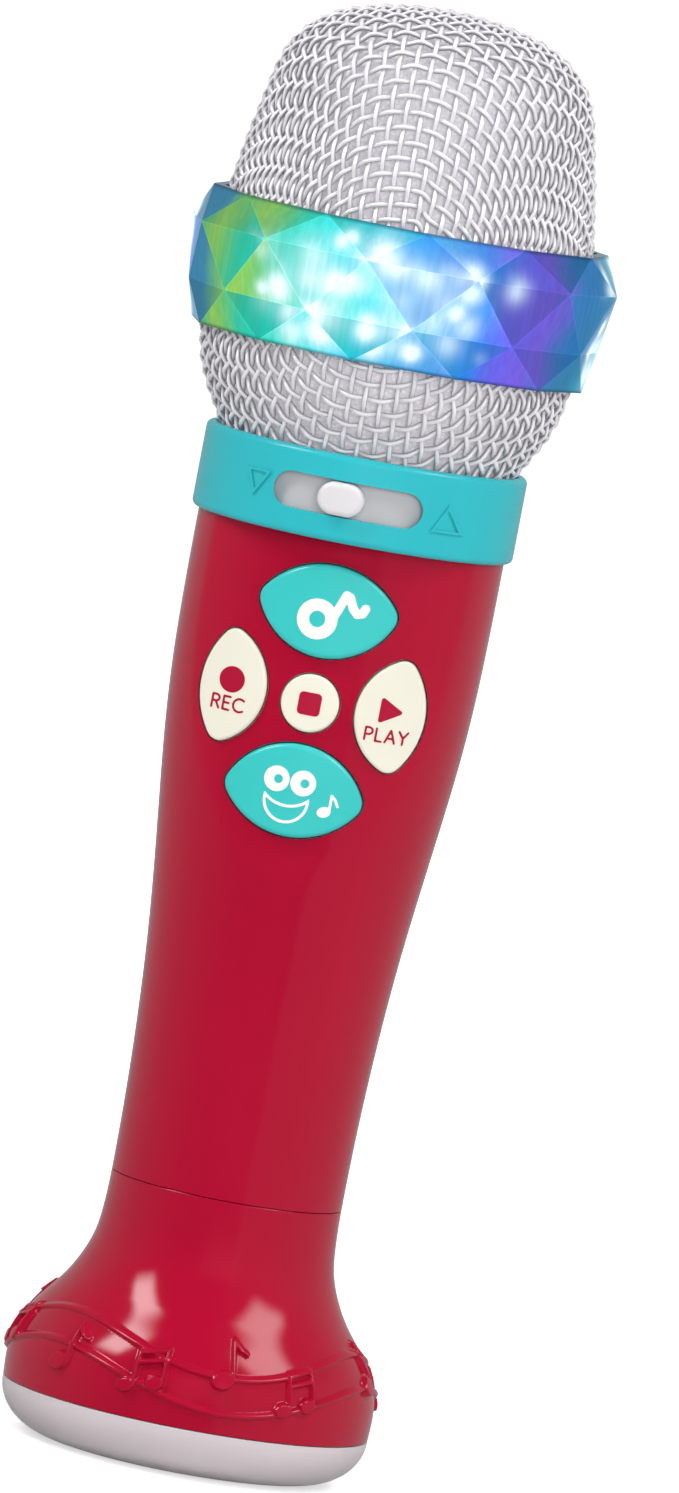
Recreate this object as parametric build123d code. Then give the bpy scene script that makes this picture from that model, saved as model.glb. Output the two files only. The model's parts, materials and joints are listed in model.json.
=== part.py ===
"""Toy microphone: a light-up, voice-changing sing-along microphone for a child's hand.

Frame: millimetres, +Z up the handle, origin at the centre of the flat foot, front (buttons) facing -Y.
It stands on its foot. Every physical piece is its own solid in its own STEP file in parts/.
"""

from build123d import *
import math
import os

# ---------------------------------------------------------------- driving dimensions
TOTAL_HEIGHT = 265.0
WALL = 2.2  # moulded shells
SEAM_GAP = 0.06  # half of the visible line between two mouldings
FIT_GAP = 0.3  # around a button or door in its opening

FOOT_TOP = 9.25  # joint between the foot cap and the flare
FOOT_RADIUS = 33.35
FOOT_FLAT_RADIUS = 22.8
SEAM_Z = 49.4  # joint between the flare and the handle
NECK_SHOULDER = 169.4  # handle top, under the collar
NECK_TOP = 184.6
NECK_RADIUS = 24.4
NECK_BORE = 22.4

PANEL_RADIUS = 34.5  # the flatter button field is a wide upright cylinder
PANEL_FRONT = 24.2  # how far in front of the axis that cylinder reaches
PANEL_AXIS_Y = PANEL_RADIUS - PANEL_FRONT

COLLAR_TOP = 185.0
COLLAR_RADIUS = 29.2
COLLAR_BORE = 27.6
SLOT_Z = 177.2
SLOT_LENGTH = 27.0
SLOT_HEIGHT = 6.5
# (x, z) corners of the raised triangles at the slot's low and high ends
COLLAR_MARKS = [
    [(-18.9, 179.5), (-17.1, 174.7), (-14.4, 179.5)],
    [(15.4, 174.3), (21.0, 174.3), (17.9, 179.5)],
]
MARK_WIDTH = 0.5
MARK_RELIEF = 0.35

SLIDER_REST = -2.0  # degrees from the middle of the slot
KNOB_LENGTH = 8.4
KNOB_HEIGHT = 5.9
KNOB_REACH = 31.3
LEVER_RADIUS = 17.8  # where the fork pushes the control's lever

BOARD_FRONT = -11.0
BOARD_THICKNESS = 1.6
DOME_HEIGHT = 3.2
BUTTON_TRAVEL = 1.2

CELL_RADIUS = 7.1
CELL_LENGTH = 50.5
CELL_CENTRES = [(0.0, -8.66), (-7.5, 4.33), (7.5, 4.33)]
TRAY_RADIUS = 18.2
TRAY_BOTTOM = 55.0
TRAY_TOP = 112.5
POCKET_BOTTOM = 56.5
POCKET_TOP = 110.5
DOOR_BOTTOM = 58.0
DOOR_TOP = 120.5
DOOR_WIDTH = 30.6
DOOR_SCREW_Z = 115.0

RING_SIDES = 12
RING_BORE = 34.1
RING_PHASE = -5.5  # degrees from the front to the nearest upper corner
# radius, height and turn (in half steps) of each row of the ring's corners
RING_ROWS = [(36.0, 202.2, 0), (37.4, 209.4, 1), (39.2, 220.3, 0), (36.0, 226.8, 1)]

MESH_THICKNESS = 1.0
LINER_GAP = 0.2
LINER_THICKNESS = 1.2
FRAME_FLOOR_TOP = 186.6
SHELF_Z = 206.1
LED_COUNT = 8
LED_BOARD_Z = 214.0
SPEAKER_RIM_Z = 229.0
SPEAKER_RADIUS = 25.0

FLARE_PROFILE = [
    (FOOT_RADIUS, FOOT_TOP),
    (33.5, 13.0),
    (33.1, 17.0),
    (31.6, 20.9),
    (28.8, 25.0),
    (25.8, 28.9),
    (23.5, 33.0),
    (21.9, 37.4),
    (21.2, 42.8),
    (21.0, SEAM_Z),
]
HANDLE_PROFILE = [
    (21.0, SEAM_Z),
    (21.05, 58.0),
    (21.6, 76.0),
    (22.9, 95.5),
    (25.2, 117.0),
    (27.1, 136.5),
    (27.65, 150.0),
    (27.8, NECK_SHOULDER),
]
BOWL_PROFILE = [
    (26.3, 182.9),
    (27.5, 185.2),
    (29.5, 188.7),
    (31.6, 192.6),
    (33.0, 196.6),
    (33.8, 201.0),
    (33.85, 206.0),
]
LINER_START = 1  # the bowl's liner starts one profile point higher, clear of the neck
DOME_PROFILE = [
    (33.55, 224.4),
    (33.05, 229.0),
    (31.8, 237.0),
    (30.5, 243.5),
    (29.2, 249.8),
    (27.1, 255.0),
    (23.2, 259.3),
    (14.5, 263.2),
    (0.0, TOTAL_HEIGHT),
]

# half width, rise away from the stop key, rise towards it, and corner radius of each lens-shaped key
LENS_WIDE = dict(half=12.75, far=7.4, near=9.3, corner=3.0)
LENS_TALL = dict(half=10.6, far=4.3, near=7.9, corner=2.4)
# name: (x, z of the outline's long axis, shape, turn in degrees, height above the panel, rounding)
BUTTONS = {
    "button_song": (0.0, 157.7, LENS_WIDE, 180, 1.5, 0.9),
    "button_voice": (0.0, 123.3, LENS_WIDE, 0, 1.5, 0.9),
    "button_record": (-16.0, 140.3, LENS_TALL, -90, 0.9, 0.5),
    "button_play": (16.0, 140.3, LENS_TALL, 90, 0.9, 0.5),
    "button_stop": (0.0, 140.1, None, 0, 0.9, 0.5),
}
STOP_RADIUS = 5.2
STEMS = {
    "button_song": (0.0, 156.9),
    "button_voice": (0.0, 124.1),
    "button_record": (-13.0, 140.3),
    "button_play": (13.0, 140.3),
    "button_stop": (0.0, 140.1),
}
FLANGE_REACH = 0.8
FLANGE_THICKNESS = 1.2
STEM_RADIUS = 1.7

PILOT = 1.25  # radius of the hole that a screw's thread bites into
CLEARANCE = 1.5  # radius of the hole that a screw passes through
HEAD_SEAT = 3.0  # radius of the well around a screw's head
POST = 2.9  # radius of the moulded posts that take the case and flare screws
SMALL_POST = 2.6  # radius of the posts in the head
CASE_BOSSES = [(x, z) for x in (-16.3, 16.3) for z in (126.0, 163.0)]
CASE_SEAT_Y = 10.0  # depth of the case screws' heads behind the axis
DOOR_SEAT_Y = 19.5
SPIGOT_RADIUS = 18.6  # the handle's lower end that plugs into the flare
SPIGOT_BORE = 16.7
SPIGOT_BOTTOM = 41.0
WEB_BOTTOM = 37.5  # the flare's inner wall, under the spigot
WEB_TOP = 40.5
FLARE_SCREW_ANGLES = (90, 210, 330)
FLARE_SCREW_RADIUS = 13.9
FOOT_SCREW_ANGLES = (30, 150, 270)
FOOT_SCREW_RADIUS = 18.6
FOOT_SEAT_Z = 4.2  # how deep in the foot its screws' heads sit
NECK_SCREW_ANGLES = (90, 210, 330)
NECK_SCREW_RADIUS = 20.2
BRACKET_SCREW_ANGLES = (30, 150, 270)
BRACKET_SCREW_RADIUS = 20.4
BOARD_HOLES = [(x, z) for x in (-10.0, 10.0) for z in (115.4, 166.4)]

RELIEF = 1.1  # how far the moulded notes stand out of the flare
BEAM_REACH = 2.45  # half the distance between a pair of joined notes' stems
BEAM_ANGLE = 14.0
# angle from the front and height of each note, single and beamed in turn
NOTES = [(-38, 18.7), (-9, 18.6), (17, 21.6), (41, 18.8), (82, 22.5), (112, 18.8), (142, 21.4)]
NOTES += [(172, 18.7), (200, 21.6), (228, 18.7), (257, 22.3), (286, 20.0)]

WIRE_RADIUS = 0.6
BIG = 120.0  # longer than anything that a cutting block has to pass through


# ---------------------------------------------------------------- helpers
def polar(radius, degrees, z=0.0):
    """A point at that radius, turned that far from +X."""
    angle = math.radians(degrees)
    return (radius * math.cos(angle), radius * math.sin(angle), z)


def inset(profile, depth):
    """The profile moved inwards, square to itself."""
    moved = []
    for i, (r, z) in enumerate(profile):
        r0, z0 = profile[max(i - 1, 0)]
        r1, z1 = profile[min(i + 1, len(profile) - 1)]
        length = math.hypot(r1 - r0, z1 - z0)
        moved.append((max(r - depth * (z1 - z0) / length, 0.0), z + depth * (r1 - r0) / length))
    return moved


def upright(point):
    """A (radius, height) point stood up in the XZ plane."""
    return (point[0], 0, point[1])


def outline_curve(profile, start=None, end=None):
    """A smooth curve through the profile's (radius, height) points, in the XZ plane."""
    points = [upright(point) for point in profile]
    if start is None:
        return Spline(points)
    return Spline(points, tangents=[start, end])


def turned(edges):
    """The solid made by turning a closed outline in the XZ plane about Z."""
    face = Face(Wire(edges))
    return revolve(face, Axis.Z, 360)


def turned_polygon(points):
    """The solid made by turning a straight-sided (radius, height) outline about Z."""
    corners = [upright(point) for point in points]
    return turned(Polyline(corners, close=True).edges())


def filled_profile(profile, start=None, end=None):
    """A solid body of revolution whose side is the profile."""
    curve = outline_curve(profile, start, end)
    (_, z0), (r1, z1) = profile[0], profile[-1]
    edges = [curve, Line(upright(profile[0]), (0, 0, z0))]
    if r1 > 0:
        edges.append(Line(upright(profile[-1]), (0, 0, z1)))
    edges.append(Line((0, 0, z0), (0, 0, z1)))
    return turned(edges)


def band(profile, depth, thickness, start=None, end=None):
    """A thin turned skin: its outside lies depth under the profile."""
    outer = inset(profile, depth) if depth else profile
    inner = inset(profile, depth + thickness)
    outer_curve = outline_curve(outer, start, end)
    inner_curve = outline_curve(inner, start, end)
    edges = [outer_curve, inner_curve]
    edges.append(Line(upright(outer[0]), upright(inner[0])))
    if outer[-1] != inner[-1]:
        edges.append(Line(upright(outer[-1]), upright(inner[-1])))
    return turned(edges)


def disc(radius, bottom, top, x=0.0, y=0.0):
    """An upright cylinder between two heights."""
    return Pos(x, y, (bottom + top) / 2) * Cylinder(radius, top - bottom)


def tube(outer, inner, bottom, top, x=0.0, y=0.0):
    return disc(outer, bottom, top, x, y) - disc(inner, bottom - 1, top + 1, x, y)


def rod_y(radius, x, z, y0, y1):
    """A cylinder along Y between two depths."""
    return Pos(x, (y0 + y1) / 2, z) * Rot(90, 0, 0) * Cylinder(radius, abs(y1 - y0))


def block(x0, x1, y0, y1, z0, z1):
    return Pos((x0 + x1) / 2, (y0 + y1) / 2, (z0 + z1) / 2) * Box(x1 - x0, y1 - y0, z1 - z0)


def sector(inner, outer, bottom, top, half_angle):
    """Part of a tube, centred on the front, that reaches half_angle degrees to each side."""
    corners = [(inner, 0, bottom), (outer, 0, bottom), (outer, 0, top), (inner, 0, top)]
    face = Face(Wire(Polyline(corners, close=True).edges()))
    return Rot(0, 0, -90 - half_angle) * revolve(face, Axis.Z, 2 * half_angle)


def screw(head_radius, head_height, shank_radius, length):
    """A pan-head screw pointing down -Z, with its head's underside at z = 0 and a cross recess."""
    head = disc(head_radius, 0, head_height)
    head = fillet(head.edges().group_by(Axis.Z)[-1], head_height * 0.4)
    shank = disc(shank_radius, -length, 0)
    shank = chamfer(shank.edges().group_by(Axis.Z)[0], shank_radius * 0.5)
    recess = Box(head_radius * 1.1, 0.6, 1.2) + Box(0.6, head_radius * 1.1, 1.2)
    return head + shank - Pos(0, 0, head_height) * recess


def wire_run(points, radius, bend=3.0):
    """A round wire along straight runs with rounded corners."""
    path = FilletPolyline(*points, radius=bend)
    start = path @ 0
    section = Plane(origin=start, z_dir=path % 0) * Circle(radius)
    return sweep(section, path=path)


def export(name, shape):
    solids = shape.solids()
    body = solids[0] if len(solids) == 1 else Compound(children=list(solids))
    body.label = name
    export_step(body, f"parts/{name}.step")


# ---------------------------------------------------------------- the handle's two halves
def handle_core(depth):
    """The handle's outer form moved inwards by depth, with the flatter key field across its front."""
    profile = inset(HANDLE_PROFILE, depth) if depth else HANDLE_PROFILE
    form = filled_profile(profile, (0, 0, 1), (0, 0, 1))
    field = disc(PANEL_RADIUS - depth, SEAM_Z - 9, NECK_SHOULDER + 9, 0, PANEL_AXIS_Y)
    return form & field


def handle_shell():
    """The whole hollow handle, before it is split, with its neck and its spigot."""
    shell = handle_core(0) - handle_core(WALL)
    ends = block(-BIG, BIG, -BIG, BIG, SEAM_Z, SEAM_Z + 2) + block(
        -BIG, BIG, -BIG, BIG, NECK_SHOULDER - 2, NECK_SHOULDER
    )
    shell += handle_core(0) & ends
    shell -= disc(SPIGOT_BORE, SEAM_Z - 1, SEAM_Z + 5)
    shell -= disc(NECK_BORE, NECK_SHOULDER - 5, NECK_SHOULDER + 1)
    shell += tube(NECK_RADIUS, NECK_BORE, NECK_SHOULDER - 2, NECK_TOP)
    shell += tube(SPIGOT_RADIUS, SPIGOT_BORE, SPIGOT_BOTTOM, SEAM_Z + 1)
    for angle in FLARE_SCREW_ANGLES:
        x, y, _ = polar(FLARE_SCREW_RADIUS, angle)
        shell += disc(POST, SPIGOT_BOTTOM, SPIGOT_BOTTOM + 13, x, y)
        shell -= disc(PILOT, SPIGOT_BOTTOM - 1, SPIGOT_BOTTOM + 11, x, y)
    return shell


def neck_bosses():
    """Three short posts inside the neck that take the head's screws."""
    posts = Part()
    for angle in NECK_SCREW_ANGLES:
        x, y, _ = polar(NECK_SCREW_RADIUS, angle)
        posts += disc(SMALL_POST, 170.0, NECK_TOP, x, y) - disc(PILOT, 172.0, NECK_TOP + 1, x, y)
    return posts


def front_half(shell):
    half = shell & block(-BIG, BIG, -BIG, -SEAM_GAP, 0, BIG * 3)
    lip = (handle_core(1.2) - handle_core(WALL)) & block(
        -BIG, BIG, -0.5, 1.2, SEAM_Z + 2, NECK_SHOULDER - 2
    )
    half += lip
    for x, z in CASE_BOSSES:
        post = rod_y(POST, x, z, -30, -SEAM_GAP) & handle_core(WALL * 0.5)
        half += post
        half -= rod_y(PILOT, x, z, -9, 1)
    window = sector(NECK_BORE - 2, NECK_RADIUS + 1, 174.6, 179.8, 30)
    half -= window
    for name in BUTTONS:
        half -= button_prism(name, FIT_GAP, -40, -5)
    return half


def rear_half(shell):
    half = shell & block(-BIG, BIG, SEAM_GAP, BIG, 0, BIG * 3)
    rebate = handle_core(1.05) - handle_core(WALL + 1)
    half -= rebate & block(-BIG, BIG, -0.5, 1.4, SEAM_Z + 1.9, NECK_SHOULDER - 1.9)
    for x, z in CASE_BOSSES:
        post = rod_y(POST, x, z, SEAM_GAP, 12) + rod_y(4.1, x, z, 8, 40)
        half += post & handle_core(WALL * 0.5)
        half -= rod_y(CLEARANCE, x, z, -1, 12)
        half -= rod_y(HEAD_SEAT, x, z, CASE_SEAT_Y, 40)
    half -= door_prism(FIT_GAP, 0, BIG) - handle_core(1.5)
    half -= door_prism(-1.5, 0, BIG)
    return half


# ---------------------------------------------------------------- battery door and tray
def door_prism(grow, y0, y1):
    """The door's outline, grown or shrunk all round, as a block along Y."""
    width = DOOR_WIDTH + 2 * grow
    height = DOOR_TOP - DOOR_BOTTOM + 2 * grow
    outline = Plane.XZ * Pos(0, (DOOR_TOP + DOOR_BOTTOM) / 2) * RectangleRounded(width, height, 4 + grow)
    return Pos(0, y0, 0) * extrude(outline, -(y1 - y0))


def battery_door():
    door = (handle_core(0) - handle_core(1.2)) & door_prism(0, 0, BIG)
    door += (handle_core(1.1) - handle_core(WALL)) & door_prism(-1.8, 0, BIG)
    boss = rod_y(4.0, 0, DOOR_SCREW_Z, 17.0, 40) & handle_core(0.6)
    door += boss
    door -= rod_y(CLEARANCE, 0, DOOR_SCREW_Z, 10, 30)
    door -= rod_y(2.9, 0, DOOR_SCREW_Z, DOOR_SEAT_Y, 40)
    for i in range(4):
        z = DOOR_BOTTOM + 5 + 2.4 * i
        ridge = block(-6 + i, 6 - i, 0, BIG, z, z + 1.1) & (handle_core(-0.45) - handle_core(0.4))
        door += ridge
    return door


def battery_tray():
    """A three-cell cradle: one deep cell, then two beside each other at the door."""
    tray = disc(TRAY_RADIUS, TRAY_BOTTOM, TRAY_TOP)
    half = CELL_RADIUS + FIT_GAP
    for x, y in CELL_CENTRES:
        tray -= disc(half, POCKET_BOTTOM, POCKET_TOP, x, y)
    (_, deep_y), _, (side_x, side_y) = CELL_CENTRES
    tray -= block(-half, half, deep_y, BIG, POCKET_BOTTOM, POCKET_TOP)
    tray -= block(-side_x - half, side_x + half, side_y, BIG, POCKET_BOTTOM, POCKET_TOP)
    tray -= block(-BIG, BIG, 13.5, BIG, 0, BIG * 2)
    post = rod_y(3.6, 0, DOOR_SCREW_Z, 4, 16.8) + block(-3.6, 3.6, 4, 12, TRAY_TOP - 1, DOOR_SCREW_Z)
    tray += post
    tray -= rod_y(CLEARANCE, 0, DOOR_SCREW_Z, 6, 20)
    return tray


def cell(x, y, upside_down):
    """One dry cell with its raised end cap."""
    body = disc(CELL_RADIUS, 0, CELL_LENGTH - 1.2)
    body = fillet(body.edges(), 0.5)
    nub = disc(2.6, CELL_LENGTH - 1.3, CELL_LENGTH)
    one = body + nub
    if upside_down:
        one = Pos(0, 0, CELL_LENGTH) * Rot(180, 0, 0) * one
        return Pos(x, y, POCKET_BOTTOM + 0.3) * one
    return Pos(x, y, POCKET_TOP - 0.3 - CELL_LENGTH) * one


def contact_springs():
    """The negative contacts, each a coil that pushes on one cell's flat end."""
    coils = []
    for i, (x, y) in enumerate(CELL_CENTRES):
        path = Helix(pitch=1.05, height=2.6, radius=3.2)
        coil = sweep(Plane(origin=path @ 0, z_dir=path % 0) * Circle(0.3), path=path)
        base = POCKET_BOTTOM + 0.35 if i != 2 else POCKET_TOP - 2.95
        coils.append(Pos(x, y, base) * coil)
    return Compound(children=coils)


def contact_plates():
    """The positive contacts, flat plated tabs."""
    plates = []
    for i, (x, y) in enumerate(CELL_CENTRES):
        z = POCKET_TOP - 0.28 if i != 2 else POCKET_BOTTOM + 0.02
        plates.append(block(x - 4, x + 4, y - 4, y + 4, z, z + 0.26))
    return Compound(children=plates)


# ---------------------------------------------------------------- buttons
def lens_face(half, far, near, corner, grow):
    """Two overlapping discs' shared area with rounded ends: one side bulges by far, the other by near."""
    far_radius = (half**2 + far**2) / (2 * far)
    near_radius = (half**2 + near**2) / (2 * near)
    face = Pos(0, far_radius - far) * Circle(far_radius + grow)
    face = face & Pos(0, near - near_radius) * Circle(near_radius + grow)
    return fillet(face.vertices(), corner + grow)


def button_outline(name, grow):
    x, z, shape, turn, _, _ = BUTTONS[name]
    if shape is None:
        flat = Circle(STOP_RADIUS + grow)
    else:
        flat = lens_face(grow=grow, **shape)
    return Plane.XZ * Pos(x, z) * Rot(0, 0, turn) * flat


def button_prism(name, grow, y0, y1):
    """A block along Y with the button's outline. In the XZ plane an extrusion runs towards -Y."""
    return Pos(0, y1, 0) * extrude(button_outline(name, grow), y1 - y0)


def panel_cylinder(lift):
    """Everything behind a surface that stands lift above the button field."""
    return disc(PANEL_RADIUS + lift, 100, 180, 0, PANEL_AXIS_Y)


def button(name):
    """A key cap that follows the panel's curve, with a flange that keeps it in and a stem to its dome."""
    _, _, _, _, lift, rounding = BUTTONS[name]
    stem_x, stem_z = STEMS[name]
    cap = button_prism(name, 0, -40, 0) & panel_cylinder(lift)
    top_edges = cap.faces().sort_by(Axis.Y)[0].edges()
    cap = fillet(top_edges, rounding)
    cap -= panel_cylinder(-WALL - 1.0)
    flange = button_prism(name, FLANGE_REACH, -40, 0) & panel_cylinder(-WALL - 0.3)
    flange -= panel_cylinder(-WALL - 0.3 - FLANGE_THICKNESS)
    flange &= handle_core(WALL + 0.3)
    stem_tip = BOARD_FRONT - DOME_HEIGHT
    stem = rod_y(STEM_RADIUS, stem_x, stem_z, -40, stem_tip) & panel_cylinder(-WALL - 0.8)
    plus = (
        block(stem_x - 3.2, stem_x + 3.2, -40, stem_tip - 1.5, stem_z - 0.5, stem_z + 0.5)
        + block(stem_x - 0.5, stem_x + 0.5, -40, stem_tip - 1.5, stem_z - 3.2, stem_z + 3.2)
    ) & panel_cylinder(-WALL - 0.8)
    return cap + flange + stem + plus


def rubber_dome(name):
    """A silicone key dome: a foot ring on the board, a thin bell, and a plunger over a contact."""
    x, z = STEMS[name]
    outline = [
        (3.2, 0),
        (3.2, 0.5),
        (2.0, DOME_HEIGHT),
        (0, DOME_HEIGHT),
        (0, 1.5),
        (1.1, 1.5),
        (1.3, 2.3),
        (2.5, 0),
    ]
    shape = turned_polygon(outline)
    return Pos(x, BOARD_FRONT, z) * Rot(90, 0, 0) * shape


# ---------------------------------------------------------------- board and control
def main_board():
    """One board for the five contacts, the sound chip and the sliding control."""
    back = BOARD_FRONT + BOARD_THICKNESS
    board = block(-13, 13, BOARD_FRONT, back, 113.2, 166.0)
    board += block(-16.5, 16.5, BOARD_FRONT, back, 134.0, 147.0)
    board += block(-12, 12, BOARD_FRONT, back, 166.0, 181.5)
    for x, z in BOARD_HOLES:
        board -= rod_y(1.4, x, z, -20, 0)
    return board


def board_posts():
    """Where the front shell holds the board: four pins reach it from the button field."""
    posts = Part()
    for x, z in BOARD_HOLES:
        posts += rod_y(2.2, x, z, -40, BOARD_FRONT - 0.02)
    return posts


def board_screws():
    return Compound(
        children=[
            Pos(x, BOARD_FRONT + BOARD_THICKNESS, z) * Rot(-90, 0, 0) * screw(2.2, 1.4, 1.0, 7.0)
            for x, z in BOARD_HOLES
        ]
    )


def sound_chip():
    """The glued-over sound chip and the other tall parts on the back of the board."""
    back = BOARD_FRONT + BOARD_THICKNESS
    outline = [(0, 0), (6, 0), (5.2, 0.9), (3, 1.5), (0, 1.7)]
    return Pos(0, back, 148) * Rot(-90, 0, 0) * turned_polygon(outline)


def board_capacitors():
    back = BOARD_FRONT + BOARD_THICKNESS
    cans = []
    for x, z in ((-8, 131), (8, 131)):
        can = rod_y(2.5, x, z, back, back + 7)
        cans.append(fillet(can.edges(), 0.4))
    return Compound(children=cans)


def pitch_control():
    """The sliding resistor that the collar's knob works."""
    body = block(-11.5, 11.5, BOARD_FRONT - 3.5, BOARD_FRONT, 174.0, 180.4)
    groove = block(-8.3, 8.3, BOARD_FRONT - 5, BOARD_FRONT - 2.0, 175.9, 178.5)
    return body - groove


def pitch_lever():
    """The control's moving lever, at the knob's rest position."""
    shift = LEVER_RADIUS * math.radians(SLIDER_REST)
    lever = block(-1.0, 1.0, -19.2, BOARD_FRONT - 2.2, 176.2, 178.2)
    return Pos(shift, 0, 0) * lever


# ---------------------------------------------------------------- collar and slider
def triangle_outline(corners):
    """A triangle's outline, drawn flat in the XZ plane."""
    outer = Polygon(*corners, align=None)
    inner = offset(outer, -MARK_WIDTH, kind=Kind.INTERSECTION)
    return Plane.XZ * (outer - inner)


def collar():
    body = tube(COLLAR_RADIUS, COLLAR_BORE, NECK_SHOULDER, COLLAR_TOP)
    outer_edges = body.edges().filter_by(GeomType.CIRCLE).filter_by(
        lambda e: e.radius > COLLAR_RADIUS - 0.1
    )
    body = fillet(outer_edges, 1.1)
    body += tube(COLLAR_BORE + 0.5, NECK_RADIUS + 0.15, NECK_SHOULDER, 171.2)
    body += tube(COLLAR_BORE + 0.5, NECK_RADIUS + 0.15, 181.7, 182.8)
    slot = Plane.XZ * Pos(0, SLOT_Z) * SlotOverall(SLOT_LENGTH, SLOT_HEIGHT)
    body -= Pos(0, -20, 0) * extrude(slot, 20)
    for corners in COLLAR_MARKS:
        mark = Pos(0, -10, 0) * extrude(triangle_outline(corners), 25)
        body += mark & tube(COLLAR_RADIUS + MARK_RELIEF, COLLAR_RADIUS - 0.5, 170, 184)
    return body


def slide_knob():
    """The knob, the curved shutter that fills the slot behind it, and the fork that moves the lever."""
    outline = Plane.XZ * Pos(0, SLOT_Z) * SlotOverall(KNOB_LENGTH, KNOB_HEIGHT)
    knob = Pos(0, -24, 0) * extrude(outline, 12)
    knob &= disc(KNOB_REACH, 160, 190)
    knob -= disc(26.5, 160, 190)
    crown = knob.faces().filter_by(GeomType.CYLINDER).sort_by(Axis.Y)[0]
    knob = fillet(crown.edges(), 1.0)
    shutter = sector(25.9, 27.3, 172.3, 181.2, 49)
    arm = block(-3.1, 3.1, -26.6, -16.9, 175.2, 179.2)
    arm -= block(-1.7, 1.7, -21.6, -10, 170, 190)
    return Rot(0, 0, SLIDER_REST) * (knob + shutter + arm)


# ---------------------------------------------------------------- flare and foot
def on_flare(angle, z, flat):
    """A flat shape drawn upright, pushed out of the flare's side at that angle from the front."""
    solid = extrude(Plane.XZ * Pos(0, z) * flat, 40)
    return Rot(0, 0, angle) * solid


def quaver():
    """One eighth note: a slanted head, a stem and a flag."""
    head = Pos(-1.7, -2.6) * Rot(0, 0, 20) * Ellipse(2.1, 1.65)
    stem = Pos(0.0, 0.9) * Rectangle(0.8, 7.0)
    flag = Pos(1.3, 3.3) * Rot(0, 0, -38) * Rectangle(3.6, 1.1)
    return head + stem + flag


def beamed_quavers():
    """Two eighth notes joined by a double beam."""
    shape = Sketch()
    slope = math.tan(math.radians(BEAM_ANGLE))
    for x in (-BEAM_REACH, BEAM_REACH):
        shape += Pos(x - 1.25, -3.0 + slope * x) * Rot(0, 0, 20) * Ellipse(1.65, 1.3)
        shape += Pos(x, 0.3 + slope * x) * Rectangle(0.8, 6.6)
    for rise in (3.1, 1.4):
        shape += Pos(0, rise) * Rot(0, 0, BEAM_ANGLE) * Rectangle(2 * BEAM_REACH + 0.9, 1.0)
    return shape


def base_flare():
    flare = filled_profile(FLARE_PROFILE, (0.05, 0, 1), (0, 0, 1))
    inner = filled_profile(inset(FLARE_PROFILE, WALL), (0.05, 0, 1), (0, 0, 1))
    shell = flare - inner
    shell -= disc(FOOT_RADIUS - WALL, FOOT_TOP - 3, FOOT_TOP + 3)
    shell -= disc(18.75, 40.5, SEAM_Z + 3)
    raised = filled_profile(inset(FLARE_PROFILE, -RELIEF), (0.05, 0, 1), (0, 0, 1))
    raised -= filled_profile(inset(FLARE_PROFILE, 0.8), (0.05, 0, 1), (0, 0, 1))
    for i, (angle, z) in enumerate(NOTES):
        note = beamed_quavers() if i % 2 else quaver()
        shell += on_flare(angle, z, note) & raised
    web = disc(20.5, WEB_BOTTOM, WEB_TOP) & flare
    web -= disc(8.0, 30, 45)
    shell += web
    for angle in FLARE_SCREW_ANGLES:
        x, y, _ = polar(FLARE_SCREW_RADIUS, angle)
        shell -= disc(CLEARANCE, 30, 45, x, y)
    for angle in FOOT_SCREW_ANGLES:
        x, y, _ = polar(FOOT_SCREW_RADIUS, angle)
        shell += disc(3.0, FOOT_TOP, 38, x, y) & flare
        shell -= disc(PILOT, 5, 22, x, y)
    shell = shell & block(-BIG, BIG, -BIG, BIG, FOOT_TOP, SEAM_Z - 2 * SEAM_GAP)
    return shell


def foot_cap():
    """The pale soft foot: a shallow cup with a rounded rim, three screw seats and a locating lip."""
    rise = FOOT_TOP - 0.4
    side = Line((FOOT_RADIUS, 0, rise), (FOOT_RADIUS, 0, FOOT_TOP - 2 * SEAM_GAP))
    reach = FOOT_RADIUS - FOOT_FLAT_RADIUS
    corner = EllipticalCenterArc((FOOT_FLAT_RADIUS, rise), reach, rise, start_angle=270, arc_size=90)
    top = FOOT_TOP - 2 * SEAM_GAP
    edges = [
        Line((0, 0, 0), (FOOT_FLAT_RADIUS, 0, 0)),
        Plane.XZ * corner,
        side,
        Line((FOOT_RADIUS, 0, top), (0, 0, top)),
        Line((0, 0, top), (0, 0, 0)),
    ]
    form = turned(edges)
    hollow = turned_polygon([(0, 2.6), (23.0, 2.6), (28.5, 5.5), (30.6, FOOT_TOP + 1), (0, FOOT_TOP + 1)])
    cup = form - hollow
    cup += tube(30.9, 29.7, 6.0, 12.0)
    for angle in FOOT_SCREW_ANGLES:
        x, y, _ = polar(FOOT_SCREW_RADIUS, angle)
        cup += disc(4.6, 1.0, FOOT_TOP - 0.15, x, y) & form
        cup -= disc(1.6, -1, 20, x, y)
        cup -= disc(3.1, -1, FOOT_SEAT_Z, x, y)
    return cup


def flare_screws():
    made = []
    for angle in FLARE_SCREW_ANGLES:
        x, y, _ = polar(FLARE_SCREW_RADIUS, angle)
        made.append(Pos(x, y, WEB_BOTTOM) * Rot(180, 0, 0) * screw(2.6, 1.8, 1.2, 13.0))
    return Compound(children=made)


def foot_screws():
    made = []
    for angle in FOOT_SCREW_ANGLES:
        x, y, _ = polar(FOOT_SCREW_RADIUS, angle)
        made.append(Pos(x, y, FOOT_SEAT_Z) * Rot(180, 0, 0) * screw(2.7, 1.8, 1.2, 15.0))
    return Compound(children=made)


def case_screws():
    seat = CASE_SEAT_Y
    return Compound(
        children=[Pos(x, seat, z) * Rot(-90, 0, 0) * screw(2.7, 1.8, 1.2, 17.0) for x, z in CASE_BOSSES]
    )


def door_screw():
    return Pos(0, DOOR_SEAT_Y, DOOR_SCREW_Z) * Rot(-90, 0, 0) * screw(2.6, 1.8, 1.2, 11.0)


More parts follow.
